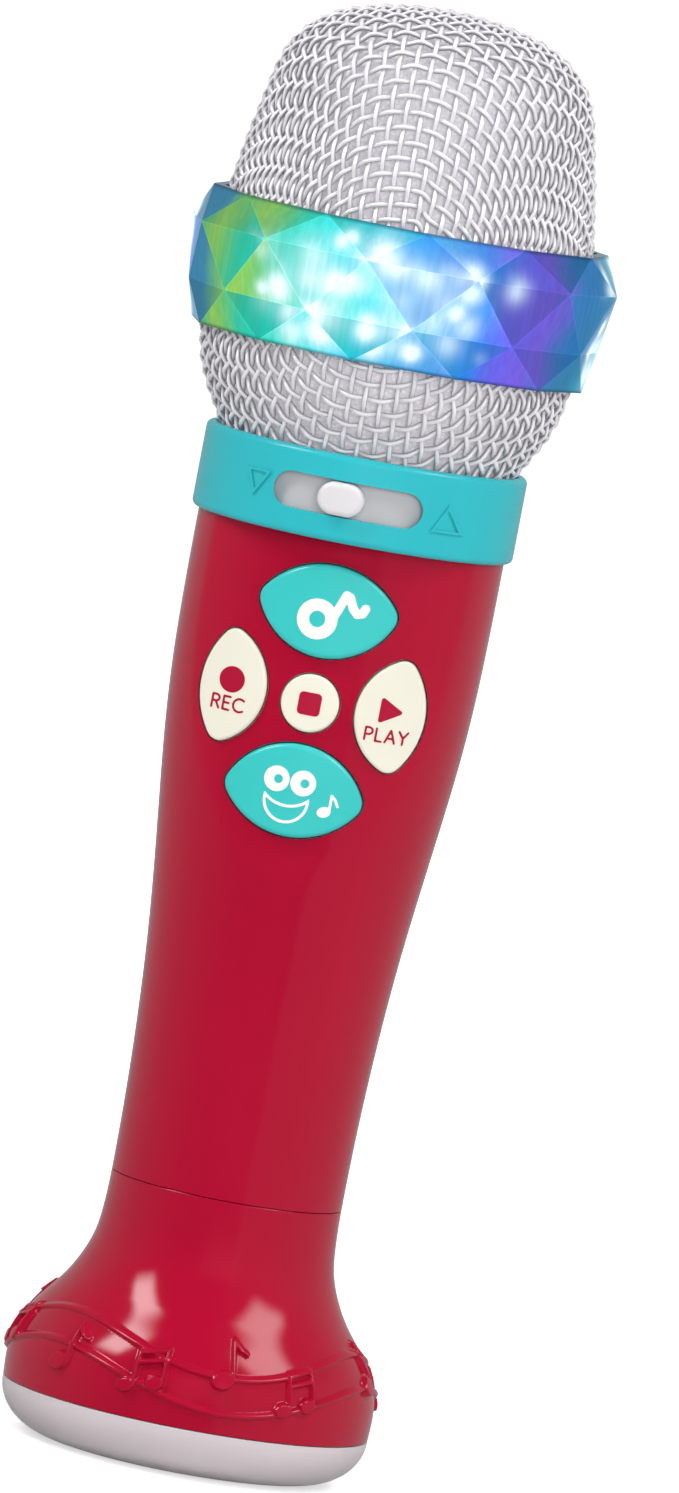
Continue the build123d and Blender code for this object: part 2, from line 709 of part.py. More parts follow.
# ---------------------------------------------------------------- head
def light_ring():
    """The clear faceted band: four rows of corners joined by flat triangles, bored for the head."""
    step = 360 / RING_SIDES
    rows = []
    for radius, z, half_steps in RING_ROWS:
        start = -90 + RING_PHASE + half_steps * step / 2
        rows.append([polar(radius, start + i * step, z) for i in range(RING_SIDES)])
    outlines = [rows[0], rows[-1]]
    for (low, high), (_, _, low_turn) in zip(zip(rows, rows[1:]), RING_ROWS):
        for i in range(RING_SIDES):
            j = (i + 1) % RING_SIDES
            over, under = (i, j) if low_turn == 0 else (j, i)
            outlines.append([low[i], low[j], high[over]])
            outlines.append([high[i], high[j], low[under]])
    faces = [Face(Wire(Polyline(corners, close=True).edges())) for corners in outlines]
    body = Solid(Shell(faces))
    return body - disc(RING_BORE, 190, 240)


def dome_grille():
    return band(DOME_PROFILE, 0, MESH_THICKNESS, (0, 0, 1), (-1, 0, 0))


def dome_liner():
    return band(DOME_PROFILE, MESH_THICKNESS + LINER_GAP, LINER_THICKNESS, (0, 0, 1), (-1, 0, 0))


def bowl_grille():
    return band(BOWL_PROFILE, 0, MESH_THICKNESS, (0.5, 0, 1), (0, 0, 1))


def bowl_liner():
    profile = BOWL_PROFILE[LINER_START:]
    return band(profile, MESH_THICKNESS + LINER_GAP, LINER_THICKNESS, (0.6, 0, 1), (0, 0, 1))


def head_frame():
    """The white skeleton that stands on the neck and carries the light, the speaker and both grilles."""
    frame = tube(24.2, 11.0, NECK_TOP, FRAME_FLOOR_TOP)
    frame += tube(24.2, 22.2, NECK_TOP, LED_BOARD_Z)
    frame += tube(33.7, 22.2, SHELF_Z, 208.0)
    for angle in NECK_SCREW_ANGLES:
        x, y, _ = polar(NECK_SCREW_RADIUS, angle)
        frame -= disc(CLEARANCE, 180, 190, x, y)
    for angle in BRACKET_SCREW_ANGLES:
        x, y, _ = polar(BRACKET_SCREW_RADIUS, angle)
        frame += disc(SMALL_POST, 200.0, LED_BOARD_Z, x, y) - disc(PILOT, 201.5, 220, x, y)
    return frame


def light_diffuser():
    return tube(33.9, 32.5, 208.1, 224.0)


def led_board():
    board = tube(29.4, 16.5, LED_BOARD_Z, LED_BOARD_Z + 1.2)
    for angle in BRACKET_SCREW_ANGLES:
        x, y, _ = polar(BRACKET_SCREW_RADIUS, angle)
        board -= disc(CLEARANCE, 200, 230, x, y)
    return board


def leds():
    """The coloured lamps on the board's edge, facing outwards."""
    lamps = []
    for i in range(LED_COUNT):
        lamp = block(28.0, 31.0, -1.75, 1.75, LED_BOARD_Z + 1.2, LED_BOARD_Z + 3.2)
        lamp = fillet(lamp.faces().sort_by(Axis.X)[-1].edges(), 0.4)
        lamps.append(Rot(0, 0, i * 360 / LED_COUNT + 22.5) * lamp)
    return Compound(children=lamps)


def speaker_bracket():
    low = LED_BOARD_Z + 1.2
    bracket = tube(26.0, 22.8, low, SPEAKER_RIM_Z)
    bracket += tube(30.2, 22.8, SPEAKER_RIM_Z - 1.6, SPEAKER_RIM_Z)
    for angle in BRACKET_SCREW_ANGLES:
        x, y, _ = polar(BRACKET_SCREW_RADIUS, angle)
        bracket += disc(SMALL_POST, low, low + 3.0, x, y) - disc(CLEARANCE, low - 1, low + 5, x, y)
    return bracket


def speaker_basket():
    basket = tube(SPEAKER_RADIUS, 21.0, SPEAKER_RIM_Z, SPEAKER_RIM_Z + 1.6)
    seat_top = SPEAKER_RIM_Z + 1
    outline = [(22.4, SPEAKER_RIM_Z), (22.4, seat_top), (21.0, seat_top)]
    outline += [(12.0, 224.0), (12.0, 222.5), (15.0, 222.5)]
    cone_seat = turned_polygon(outline)
    return basket + cone_seat + tube(15.0, 9.0, 221.0, 223.5)


def speaker_magnet():
    return fillet(disc(13.5, 216.5, 221.0).edges(), 0.5)


def speaker_cone():
    cone = turned_polygon(
        [
            (20.8, SPEAKER_RIM_Z + 2.4),
            (20.8, SPEAKER_RIM_Z + 1.75),
            (24.0, SPEAKER_RIM_Z + 1.75),
            (24.0, SPEAKER_RIM_Z + 2.2),
            (21.4, SPEAKER_RIM_Z + 3.0),
            (19.0, SPEAKER_RIM_Z + 2.0),
            (8.6, 226.2),
            (8.6, 225.6),
            (18.6, SPEAKER_RIM_Z + 1.2),
        ]
    )
    cap = turned_polygon([(0, 225.6), (8.6, 225.6), (8.6, 226.2), (5.5, 227.9), (0, 228.7)])
    return cone + cap


def mic_bridge():
    """The arch over the speaker that holds the voice pickup at the top of the head."""
    low = SPEAKER_RIM_Z
    bridge = block(-28.2, -26.2, -3.0, 3.0, low, 240.0) + block(26.2, 28.2, -3.0, 3.0, low, 240.0)
    bridge += block(-28.2, 28.2, -3.0, 3.0, 238.4, 240.0)
    bridge += disc(8.0, 238.4, 240.0) + tube(6.9, 5.6, 240.0, 244.0)
    return bridge - disc(1.5, 230, 241)


def mic_boot():
    return tube(5.5, 4.9, 240.1, 247.5)


def mic_capsule():
    return disc(4.85, 241.5, 248.0) - disc(1.0, 247.5, 249)


def head_screws():
    """The three that hold the skeleton to the neck."""
    made = []
    for angle in NECK_SCREW_ANGLES:
        x, y, _ = polar(NECK_SCREW_RADIUS, angle)
        made.append(Pos(x, y, FRAME_FLOOR_TOP) * screw(1.95, 1.5, 1.2, 12.0))
    return Compound(children=made)


def bracket_screws():
    made = []
    for angle in BRACKET_SCREW_ANGLES:
        x, y, _ = polar(BRACKET_SCREW_RADIUS, angle)
        made.append(Pos(x, y, LED_BOARD_Z + 4.2) * screw(2.2, 1.4, 1.2, 11.0))
    return Compound(children=made)


# ---------------------------------------------------------------- wires
def battery_wires():
    """Two leads from the tray's top to the board."""
    back = BOARD_FRONT + BOARD_THICKNESS
    made = []
    for x in (-3.0, 3.0):
        route = [(x, -2.0, TRAY_TOP), (x, -2.0, 120.0), (x, back + 3, 126.5)]
        route += [(x, back + 3, 136.0), (x, back, 136.0)]
        made.append(wire_run(route, WIRE_RADIUS, 1.4))
    return Compound(children=made)


def head_wires():
    """Leads that rise from the board through the neck to the lamp board."""
    back = BOARD_FRONT + BOARD_THICKNESS
    made = []
    for x in (-4.5, -1.5, 1.5, 4.5):
        route = [(x, back, 172.0), (x, back + 3, 172.0), (x, back + 3, 180.0)]
        route += [(x, 0.5, 190.0), (x, 17.5, 205.0), (x, 17.5, LED_BOARD_Z)]
        made.append(wire_run(route, WIRE_RADIUS, 1.4))
    return Compound(children=made)


def speaker_wires():
    made = []
    for x in (-8.0, 8.0):
        route = [(x, -15.6, LED_BOARD_Z + 1.2), (x, -15.6, 219.0), (x, -13.7, 222.0)]
        made.append(wire_run(route, WIRE_RADIUS, 1.0))
    return Compound(children=made)


def pickup_wires():
    """The pickup's screened lead, over the speaker's rim and up through the arch."""
    route = [(0, 27.5, SPEAKER_RIM_Z), (0, 27.5, 233.5), (0, 0, 236.0), (0, 0, 241.5)]
    return wire_run(route, WIRE_RADIUS, 1.5)


# ---------------------------------------------------------------- build
def main():
    os.makedirs("parts", exist_ok=True)
    shell = handle_shell()
    front = front_half(shell + neck_bosses())
    front += board_posts() & handle_core(WALL * 0.5)
    for x, z in BOARD_HOLES:
        front -= rod_y(1.05, x, z, -17.5, 0)
    export("handle_front", front)
    export("handle_rear", rear_half(shell + neck_bosses()))

    export("battery_door", battery_door())
    export("battery_tray", battery_tray())
    for i, (x, y) in enumerate(CELL_CENTRES):
        export(f"battery_cell_{i + 1}", cell(x, y, upside_down=i == 2))
    export("contact_springs", contact_springs())
    export("contact_plates", contact_plates())
    export("door_screw", door_screw())

    for name in BUTTONS:
        export(name, button(name))
        export(name.replace("button", "dome"), rubber_dome(name))
    export("main_board", main_board())
    export("board_screws", board_screws())
    export("sound_chip", sound_chip())
    export("board_capacitors", board_capacitors())
    export("pitch_control", pitch_control())
    export("pitch_lever", pitch_lever())

    export("collar", collar())
    export("slide_knob", slide_knob())

    export("base_flare", base_flare())
    export("foot_cap", foot_cap())
    export("flare_screws", flare_screws())
    export("foot_screws", foot_screws())
    export("case_screws", case_screws())

    export("light_ring", light_ring())
    export("light_diffuser", light_diffuser())
    export("led_board", led_board())
    export("leds", leds())
    export("dome_grille", dome_grille())
    export("dome_liner", dome_liner())
    export("bowl_grille", bowl_grille())
    export("bowl_liner", bowl_liner())
    export("head_frame", head_frame())
    export("head_screws", head_screws())
    export("speaker_bracket", speaker_bracket())
    export("bracket_screws", bracket_screws())
    export("speaker_basket", speaker_basket())
    export("speaker_magnet", speaker_magnet())
    export("speaker_cone", speaker_cone())
    export("mic_bridge", mic_bridge())
    export("mic_boot", mic_boot())
    export("mic_capsule", mic_capsule())

    export("battery_wires", battery_wires())
    export("head_wires", head_wires())
    export("speaker_wires", speaker_wires())
    export("pickup_wires", pickup_wires())


main()
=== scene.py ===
"""Looks for the toy microphone: glossy moulded shells, woven wire head, glowing faceted band, printed keys.

Lengths in the helpers are millimetres in the part's own frame; make() turns them into Blender's metres.
An angle is measured about the upright axis from the front (-Y), positive towards +X.
"""

import json
import math

import bpy
import numpy as np
from mathutils import Matrix, Vector
from mathutils.geometry import delaunay_2d_cdt


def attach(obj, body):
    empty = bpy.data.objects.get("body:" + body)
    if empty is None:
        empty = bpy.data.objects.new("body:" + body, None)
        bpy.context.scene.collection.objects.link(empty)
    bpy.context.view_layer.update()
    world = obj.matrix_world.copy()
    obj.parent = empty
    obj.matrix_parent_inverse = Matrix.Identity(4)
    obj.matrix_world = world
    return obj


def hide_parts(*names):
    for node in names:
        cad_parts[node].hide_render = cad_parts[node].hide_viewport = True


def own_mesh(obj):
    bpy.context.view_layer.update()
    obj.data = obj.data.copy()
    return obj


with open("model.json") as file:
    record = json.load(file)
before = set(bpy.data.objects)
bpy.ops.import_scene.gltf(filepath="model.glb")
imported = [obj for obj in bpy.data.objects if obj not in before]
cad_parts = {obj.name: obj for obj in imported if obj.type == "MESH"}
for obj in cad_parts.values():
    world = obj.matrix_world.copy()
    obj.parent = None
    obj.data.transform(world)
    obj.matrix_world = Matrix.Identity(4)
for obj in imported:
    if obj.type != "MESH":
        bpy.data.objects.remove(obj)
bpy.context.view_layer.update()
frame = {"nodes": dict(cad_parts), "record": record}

MM = 0.001
RANDOM_SEED = 7

# ---------------------------------------------------------------- sizes shared with the frame
FOOT_TOP = 9.25
FOOT_RADIUS = 33.35
SEAM_Z = 49.4
SEAM_GAP = 0.06
SHOULDER = 169.4
WALL = 2.2
PANEL_RADIUS = 34.5
PANEL_AXIS_Y = PANEL_RADIUS - 24.2
CREASE = 0.3
COLLAR_BORE = 27.6
FIT_GAP = 0.3
DOOR_BOTTOM = 58.0
DOOR_TOP = 120.5
DOOR_WIDTH = 30.6
DOOR_CORNER = 4.0
CASE_BOSSES = [(x, z) for x in (-16.3, 16.3) for z in (126.0, 163.0)]
WELL_RADIUS = 3.0  # the wells that lead to the case screws, and how far back their floors lie
WELL_FLOOR_Y = 10.0
WELL_FLOOR_LIFT = 0.02
WELL_POINTS = 36
BOARD_FRONT = -11.0
RING_SIDES = 12
RING_PHASE = -5.5
RING_BORE = 34.1
RING_ROWS = [(36.0, 202.2, 0), (37.4, 209.4, 1), (39.2, 220.3, 0), (36.0, 226.8, 1)]
BAND_MIDDLE = (RING_ROWS[0][1] + RING_ROWS[-1][1]) / 2
BAND_HALF = (RING_ROWS[-1][1] - RING_ROWS[0][1]) / 2
FLARE_PROFILE = [
    (FOOT_RADIUS, FOOT_TOP),
    (33.5, 13.0),
    (33.1, 17.0),
    (31.6, 20.9),
    (28.8, 25.0),
    (25.8, 28.9),
    (23.5, 33.0),
    (21.9, 37.4),
    (21.2, 42.8),
    (21.0, SEAM_Z),
]
HANDLE_PROFILE = [
    (21.0, SEAM_Z),
    (21.05, 58.0),
    (21.6, 76.0),
    (22.9, 95.5),
    (25.2, 117.0),
    (27.1, 136.5),
    (27.65, 150.0),
    (27.8, SHOULDER),
]
BOWL_PROFILE = [
    (26.3, 182.9),
    (27.5, 185.2),
    (29.5, 188.7),
    (31.6, 192.6),
    (33.0, 196.6),
    (33.8, 201.0),
    (33.85, 206.0),
]
BOWL_FLOOR = [(0.0, 176.5), (14.0, 177.0), (21.5, 178.9), (26.3, 182.9)]
DOME_PROFILE = [
    (33.55, 224.4),
    (33.05, 229.0),
    (31.8, 237.0),
    (30.5, 243.5),
    (29.2, 249.8),
    (27.1, 255.0),
    (23.2, 259.3),
    (14.5, 263.2),
    (0.0, 265.0),
]
LENS_WIDE = dict(half=12.75, far=7.4, near=9.3, corner=3.0)
LENS_TALL = dict(half=10.6, far=4.3, near=7.9, corner=2.4)
# name: (x, z, outline, turn, height above the panel, rounding, stem x, stem z, material slot)
KEYS = {
    "song": (0.0, 157.7, LENS_WIDE, 180, 1.5, 0.9, 0.0, 156.9, "teal_key"),
    "voice": (0.0, 123.3, LENS_WIDE, 0, 1.5, 0.9, 0.0, 124.1, "teal_key"),
    "record": (-16.0, 140.3, LENS_TALL, -90, 0.9, 0.5, -13.0, 140.3, "cream_key"),
    "play": (16.0, 140.3, LENS_TALL, 90, 0.9, 0.5, 13.0, 140.3, "cream_key"),
    "stop": (0.0, 140.1, None, 0, 0.9, 0.5, 0.0, 140.1, "cream_key"),
}
STOP_RADIUS = 5.2
# a bell's closed outline: radius and height above the board, foot ring first
BELL_LINE = [(2.5, 0.0), (3.2, 0.0), (3.2, 0.45), (3.0, 0.7), (2.2, 2.9), (1.9, 3.15), (0.0, 3.15)]
BELL_LINE += [(0.0, 1.5), (1.0, 1.5), (1.15, 1.7), (1.3, 2.3), (1.6, 2.2), (2.5, 0.2), (2.5, 0.0)]
BELL_INSIDE = (2.0, 2.2)
RELIEF = 1.05
BEAM_REACH = 2.45
BEAM_ANGLE = 14.0
NOTES = [(-38, 18.7), (-9, 18.6), (17, 21.6), (41, 18.8), (82, 22.5), (112, 18.8), (142, 21.4)]
NOTES += [(172, 18.7), (200, 21.6), (228, 18.7), (257, 22.3), (286, 20.0)]
STAFF_PHASE = 15.0
STAFF_LINES = [(16.3, 3.3), (22.3, 2.9)]  # middle height and swing of each waving line
WEAVE_PITCH = 2.75
WIRE_RADIUS = 0.44


# ---------------------------------------------------------------- curves and sheets
def smooth_curve(points, start, end, count):
    """A natural-looking curve through the points, with clamped end directions, as count samples."""
    p = np.array(points, float)
    step = np.hypot(*np.diff(p, axis=0).T)
    t = np.concatenate([[0], np.cumsum(step)])
    n = len(p)
    matrix = np.zeros((n, n))
    right = np.zeros((n, 2))
    matrix[0, 0] = matrix[-1, -1] = 1
    right[0] = np.array(start, float) / np.hypot(*start)
    right[-1] = np.array(end, float) / np.hypot(*end)
    for i in range(1, n - 1):
        matrix[i, i - 1 : i + 2] = [step[i], 2 * (step[i - 1] + step[i]), step[i - 1]]
        before = step[i] * (p[i] - p[i - 1]) / step[i - 1]
        after = step[i - 1] * (p[i + 1] - p[i]) / step[i]
        right[i] = 3 * (before + after)
    slope = np.linalg.solve(matrix, right)
    at = np.linspace(0, t[-1], count)
    k = np.clip(np.searchsorted(t, at, side="right") - 1, 0, n - 2)
    h = step[k][:, None]
    u = ((at - t[k]) / step[k])[:, None]
    a = (2 * u**3 - 3 * u**2 + 1) * p[k] + (u**3 - 2 * u**2 + u) * h * slope[k]
    b = (-2 * u**3 + 3 * u**2) * p[k + 1] + (u**3 - u**2) * h * slope[k + 1]
    return a + b


def round_corner(centre, radius, first, last, count):
    """Points of an arc in the (radius, height) plane; 0 degrees points outwards and 90 up."""
    t = np.radians(np.linspace(first, last, count))
    return np.stack([centre[0] + radius * np.cos(t), centre[1] + radius * np.sin(t)], 1)


def unit(v):
    """Each vector brought to length one."""
    return v / np.maximum(np.linalg.norm(v, axis=-1, keepdims=True), 1e-12)


def on_axis(radius, angle, z):
    """Points at that radius and angle from the front."""
    radius, angle, z = np.broadcast_arrays(radius, angle, z)
    return np.stack([radius * np.sin(angle), -radius * np.cos(angle), z], -1)


class Piece:
    """Sheets of one piece, gathered with their own smooth normals before they become an object."""

    def __init__(self):
        self.points = []
        self.faces = []
        self.normals = []
        self.values = {}
        self.count = 0

    def sheet(self, points, faces, normals, **values):
        """Faces that share one smooth skin, turned to face along their normals; values go to its points."""
        points = np.asarray(points, float).reshape(-1, 3)
        normals = unit(np.asarray(normals, float).reshape(-1, 3))
        faces = np.asarray(faces, int)
        a, b, c = (points[faces[:, i]] for i in range(3))
        facing = np.einsum("ij,ij->i", np.cross(b - a, c - a), normals[faces].mean(1))
        faces = np.where(facing[:, None] < 0, faces[:, ::-1], faces)
        self.points.append(points)
        self.normals.append(normals)
        self.faces += (faces + self.count).tolist()
        for name, value in values.items():
            self.values.setdefault(name, []).append((self.count, np.asarray(value, float)))
        self.count += len(points)

    def grid(self, points, wrap=False, away=None, toward=None):
        """A sheet of rows of points; wrap joins each row's end to its start."""
        p = np.asarray(points, float)
        rows, columns = p.shape[:2]
        if wrap:
            along = np.roll(p, -1, 1) - np.roll(p, 1, 1)
        else:
            along = np.gradient(p, axis=1)
        across = np.gradient(p, axis=0)
        normal = unit(np.cross(along, across))
        target = np.asarray(away if away is not None else toward, float)
        outward = np.einsum("ijk,ijk->", normal, p - target)
        if (outward < 0) == (away is not None):
            normal = -normal
        index = np.arange(rows * columns).reshape(rows, columns)
        right = np.roll(index, -1, 1) if wrap else index[:, 1:]
        left = index if wrap else index[:, :-1]
        quads = np.stack([left[:-1], right[:-1], right[1:], left[1:]], -1).reshape(-1, 4)
        self.sheet(p, quads, normal)

    def lathe(self, profile, segments=180, away=None, toward=None, start=0.0, sweep=2 * math.pi):
        """A turned sheet from (radius, height) points."""
        profile = np.asarray(profile, float)
        whole = sweep > 2 * math.pi - 1e-6
        angle = start + np.linspace(0, sweep, segments, endpoint=not whole)
        points = on_axis(profile[:, :1], angle[None, :], profile[:, 1:])
        slope = np.gradient(profile, axis=0)
        side = np.stack([slope[:, 1], -slope[:, 0]], 1)
        inside = np.asarray(away if away is not None else toward, float)
        outward = (side * (profile - inside)).sum()
        if (outward < 0) == (away is not None):
            side = -side
        normals = on_axis(side[:, :1], angle[None, :], side[:, 1:])
        index = np.arange(points.shape[0] * segments).reshape(-1, segments)
        right = np.roll(index, -1, 1) if whole else index[:, 1:]
        left = index if whole else index[:, :-1]
        quads = np.stack([left[:-1], right[:-1], right[1:], left[1:]], -1).reshape(-1, 4)
        self.sheet(points, quads, normals)

    def tube(self, path, radius, side_hint, sides=8):
        """A round bar along the path; side_hint points away from the surface at each point."""
        path = np.asarray(path, float)
        tangent = unit(np.gradient(path, axis=0))
        up = unit(side_hint - (side_hint * tangent).sum(1, keepdims=True) * tangent)
        side = np.cross(tangent, up)
        t = np.arange(sides) * 2 * math.pi / sides
        normal = np.cos(t)[None, :, None] * up[:, None] + np.sin(t)[None, :, None] * side[:, None]
        points = path[:, None] + radius * normal
        # crown: how far each point faces outwards; the wire material darkens the sides by it, as painted
        # shade
        crown = np.broadcast_to(np.cos(t), points.shape[:2])
        index = np.arange(len(path) * sides).reshape(-1, sides)
        around = np.roll(index, -1, 1)
        quads = np.stack([index[:-1], around[:-1], around[1:], index[1:]], -1).reshape(-1, 4)
        self.sheet(points, quads, normal, crown=crown)


def make(name, piece, material, body, replaces=()):
    """Turns the gathered sheets into an object that rides on a body."""
    points = np.concatenate(piece.points) * MM
    mesh = bpy.data.meshes.new(name)
    mesh.from_pydata(points.tolist(), [], piece.faces)
    mesh.polygons.foreach_set("use_smooth", [True] * len(mesh.polygons))
    mesh.normals_split_custom_set_from_vertices(np.concatenate(piece.normals).tolist())
    for value_name, parts in piece.values.items():
        whole = np.zeros(len(points))
        for first, values in parts:
            whole[first : first + values.size] = values.reshape(-1)
        attribute = mesh.attributes.new(value_name, "FLOAT", "POINT")
        attribute.data.foreach_set("value", whole.astype(np.float32))
    mesh.materials.append(material)
    made = bpy.data.objects.new(name, mesh)
    bpy.context.scene.collection.objects.link(made)
    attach(made, body)
    if replaces:
        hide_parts(*replaces)
    return made


# ---------------------------------------------------------------- flat outlines
def arc_points(centre, radius, first, last, count):
    """Points from angle first up to but not including last; 0 points down and angles run anticlockwise."""
    t = np.linspace(first, last, count, endpoint=False)
    return np.stack([centre[0] + radius * np.sin(t), centre[1] - radius * np.cos(t)], 1)


def lens_loop(half, far, near, corner, grow):
    """A closed pointed oval with rounded ends, grown all round."""
    far_radius = (half**2 + far**2) / (2 * far)
    near_radius = (half**2 + near**2) / (2 * near)
    low = far_radius - far
    high = near - near_radius
    a = far_radius - corner
    b = near_radius - corner
    end_z = (a * a - b * b - low * low + high * high) / (2 * (high - low))
    end_x = math.sqrt(a * a - (end_z - low) ** 2)
    t1 = math.atan2(end_x, low - end_z)
    t2 = math.atan2(end_x, end_z - high)
    pi = math.pi
    parts = [
        arc_points((0, low), far_radius + grow, -t1, t1, 60),
        arc_points((end_x, end_z), corner + grow, t1, pi - t2, 20),
        arc_points((0, high), near_radius + grow, pi - t2, pi + t2, 60),
        arc_points((-end_x, end_z), corner + grow, pi + t2, 2 * pi - t1, 20),
    ]
    return np.concatenate(parts)


def circle_loop(radius, grow=0.0, count=72):
    """A closed circle, grown all round."""
    return arc_points((0, 0), radius + grow, 0, 2 * math.pi, count)


def box_loop(width, height, corner, grow=0.0, count=12, edge=10):
    """A rounded rectangle; its straight sides carry points too, to follow a curved surface."""
    x = width / 2 - corner
    z = height / 2 - corner
    r = corner + grow
    q = math.pi / 2
    loop = []
    centres = [(x, -z), (x, z), (-x, z), (-x, -z)]
    for i, centre in enumerate(centres):
        turned = arc_points(centre, r, i * q, (i + 1) * q, count)
        end = np.array(centre) + r * np.array([math.sin((i + 1) * q), -math.cos((i + 1) * q)])
        following = centres[(i + 1) % 4]
        start = np.array(following) + r * np.array([math.sin((i + 1) * q), -math.cos((i + 1) * q)])
        f = np.linspace(0, 1, edge, endpoint=False)[:, None]
        loop += [turned, end + f * (start - end)]
    points = np.concatenate(loop)
    keep = np.linalg.norm(points - np.roll(points, 1, 0), axis=1) > 1e-6
    return points[keep]


def placed(loop, x, z, turn=0.0):
    """The loop turned by degrees, then moved."""
    c, s = math.cos(math.radians(turn)), math.sin(math.radians(turn))
    return loop @ np.array([[c, s], [-s, c]]) + [x, z]


def inside_loop(points, loop):
    """Which points lie inside the closed loop."""
    x, z = points[:, :1], points[:, 1:]
    x0, z0 = loop[:, 0], loop[:, 1]
    x1, z1 = np.roll(x0, -1), np.roll(z0, -1)
    crosses = (z0 > z) != (z1 > z)
    gap = np.where(z1 == z0, 1e-12, z1 - z0)
    at = x0 + (z - z0) / gap * (x1 - x0)
    return (crosses & (x < at)).sum(1) % 2 == 1


def near_loop(points, loop, distance):
    """Which points lie within that distance of the loop's corners."""
    close = np.zeros(len(points), bool)
    for start in range(0, len(points), 4000):
        some = points[start : start + 4000]
        gap = np.linalg.norm(some[:, None] - loop[None], axis=2).min(1)
        close[start : start + 4000] = gap < distance
    return close


def fill(outline, grid, holes=(), clear=0.3):
    """Triangles that fill the outline, through the grid's points, leaving the holes open."""
    loops = [outline, *holes]
    keep = inside_loop(grid, outline) & ~near_loop(grid, outline, clear)
    for hole in holes:
        keep &= ~inside_loop(grid, hole) & ~near_loop(grid, hole, clear)
    points = [grid[keep]]
    edges = []
    first = len(points[0])
    for loop in loops:
        n = len(loop)
        edges += [(first + i, first + (i + 1) % n) for i in range(n)]
        points.append(loop)
        first += n
    flat = np.concatenate(points)
    result = delaunay_2d_cdt([Vector(p) for p in flat], edges, [], 0, 1e-7)
    made = np.array([tuple(v) for v in result[0]])
    triangles = np.array(result[2], int)
    middle = made[triangles].mean(1)
    good = inside_loop(middle, outline)
    for hole in holes:
        good &= ~inside_loop(middle, hole)
    return made, triangles[good]


def grid_points(x0, x1, z0, z1, step_x, step_z):
    """The places of a plain grid, as rows of (x, z)."""
    x, z = np.meshgrid(np.arange(x0, x1, step_x), np.arange(z0, z1, step_z))
    return np.stack([x.ravel(), z.ravel()], 1)


# ---------------------------------------------------------------- the handle's surface
HANDLE_LINE = smooth_curve(HANDLE_PROFILE, (0, 1), (0, 1), 400)


def handle_radius(angle, z):
    """The handle's radius: the turned form, cut by the wider key field with a soft crease."""
    turned = np.interp(z, HANDLE_LINE[:, 1], HANDLE_LINE[:, 0])
    field = -PANEL_AXIS_Y * np.cos(angle) + np.sqrt(
        PANEL_RADIUS**2 - (PANEL_AXIS_Y * np.sin(angle)) ** 2
    )
    field = np.where(np.cos(angle) > 0, field, 99.0)
    mix = np.clip(0.5 + 0.5 * (field - turned) / CREASE, 0, 1)
    return field * (1 - mix) + turned * mix - CREASE * mix * (1 - mix)


def handle_point(angle, z):
    """A place on the handle's skin."""
    return on_axis(handle_radius(angle, z), angle, z)


def surface_normal(surface, angle, z):
    """The outward normal of a (angle, height) surface, by small differences."""
    turn = surface(angle + 1e-3, z) - surface(angle - 1e-3, z)
    rise = surface(angle, z + 0.02) - surface(angle, z - 0.02)
    return unit(np.cross(turn, rise))


def angle_of(x, z, rear=False):
    """The angle at which the handle's surface stands at sideways place x."""
    angle = np.arcsin(np.clip(x / 27.0, -0.99, 0.99))
    if rear:
        angle = math.pi - angle
    for _ in range(30):
        radius = handle_radius(angle, z)
        angle = np.arcsin(np.clip(x / radius, -0.999, 0.999))
        if rear:
            angle = math.pi - angle
    return angle


ARC_SCALE = 25.0  # angle times this is the sideways place in the flat layout


def shell_half(piece, middle, holes, depths):
    """Half of the handle's skin, with openings and their walls. Holes are (x, z) loops."""
    rear = middle > 1
    half_turn = math.pi / 2 - SEAM_GAP / ARC_SCALE
    low, high = SEAM_Z, SHOULDER
    flat_holes = []
    for hole in holes:
        s = (angle_of(hole[:, 0], hole[:, 1], rear) - middle) * ARC_SCALE
        flat_holes.append(np.stack([s, hole[:, 1]], 1))
    reach = half_turn * ARC_SCALE
    columns = np.linspace(-reach, reach, 140)
    rows = np.concatenate([np.linspace(low, 100, 26)[:-1], np.linspace(100, high, 80)])
    side = np.stack([np.full(len(rows), reach), rows], 1)
    top = np.stack([columns[::-1][1:-1], np.full(len(columns) - 2, high)], 1)
    outline = np.concatenate([side, top, side[::-1] * [-1, 1], top[::-1] * [1, 0] + [0, low]])
    x, z = np.meshgrid(columns[1:-1], rows[1:-1])
    flat, triangles = fill(outline, np.stack([x.ravel(), z.ravel()], 1), flat_holes)
    angle = flat[:, 0] / ARC_SCALE + middle
    normal = surface_normal(handle_point, angle, flat[:, 1])
    piece.sheet(handle_point(angle, flat[:, 1]), triangles, normal)
    for hole, flat_hole, depth in zip(holes, flat_holes, depths):
        angle = flat_hole[:, 0] / ARC_SCALE + middle
        edge = handle_point(angle, flat_hole[:, 1])
        inner = edge.copy()
        inwards = -WALL if rear else WALL
        inner[:, 1] = depth if depth is not None else edge[:, 1] + inwards
        centre = edge.mean(0)
        rows = np.stack([edge + f * (inner - edge) for f in np.linspace(0, 1, 4)])
        piece.grid(rows, wrap=True, toward=centre + (inner.mean(0) - centre) / 2)
    for turn in (-half_turn, half_turn):
        angle = np.full(len(HANDLE_LINE), middle + turn)
        edge = handle_point(angle, HANDLE_LINE[:, 1])
        inner = edge * [(1 - WALL / 25), (1 - WALL / 25), 1]
        inward = [0, 10 if rear else -10, 100]
        piece.grid(np.stack([edge, inner]), away=inward)


def key_loop(name, grow):
    """A key's outline on the key field, grown all round."""
    x, z, shape, turn, _, _, _, _, _ = KEYS[name]
    loop = circle_loop(STOP_RADIUS, grow) if shape is None else lens_loop(grow=grow, **shape)
    return placed(loop, x, z, turn)


def lifted(flat, lift):
    """Flat (x, z) points laid on the key field's upright cylinder, lift above it."""
    x, z = flat[..., 0], flat[..., 1]
    y = PANEL_AXIS_Y - np.sqrt((PANEL_RADIUS + lift) ** 2 - x**2)
    return np.stack([x, y, z], -1)


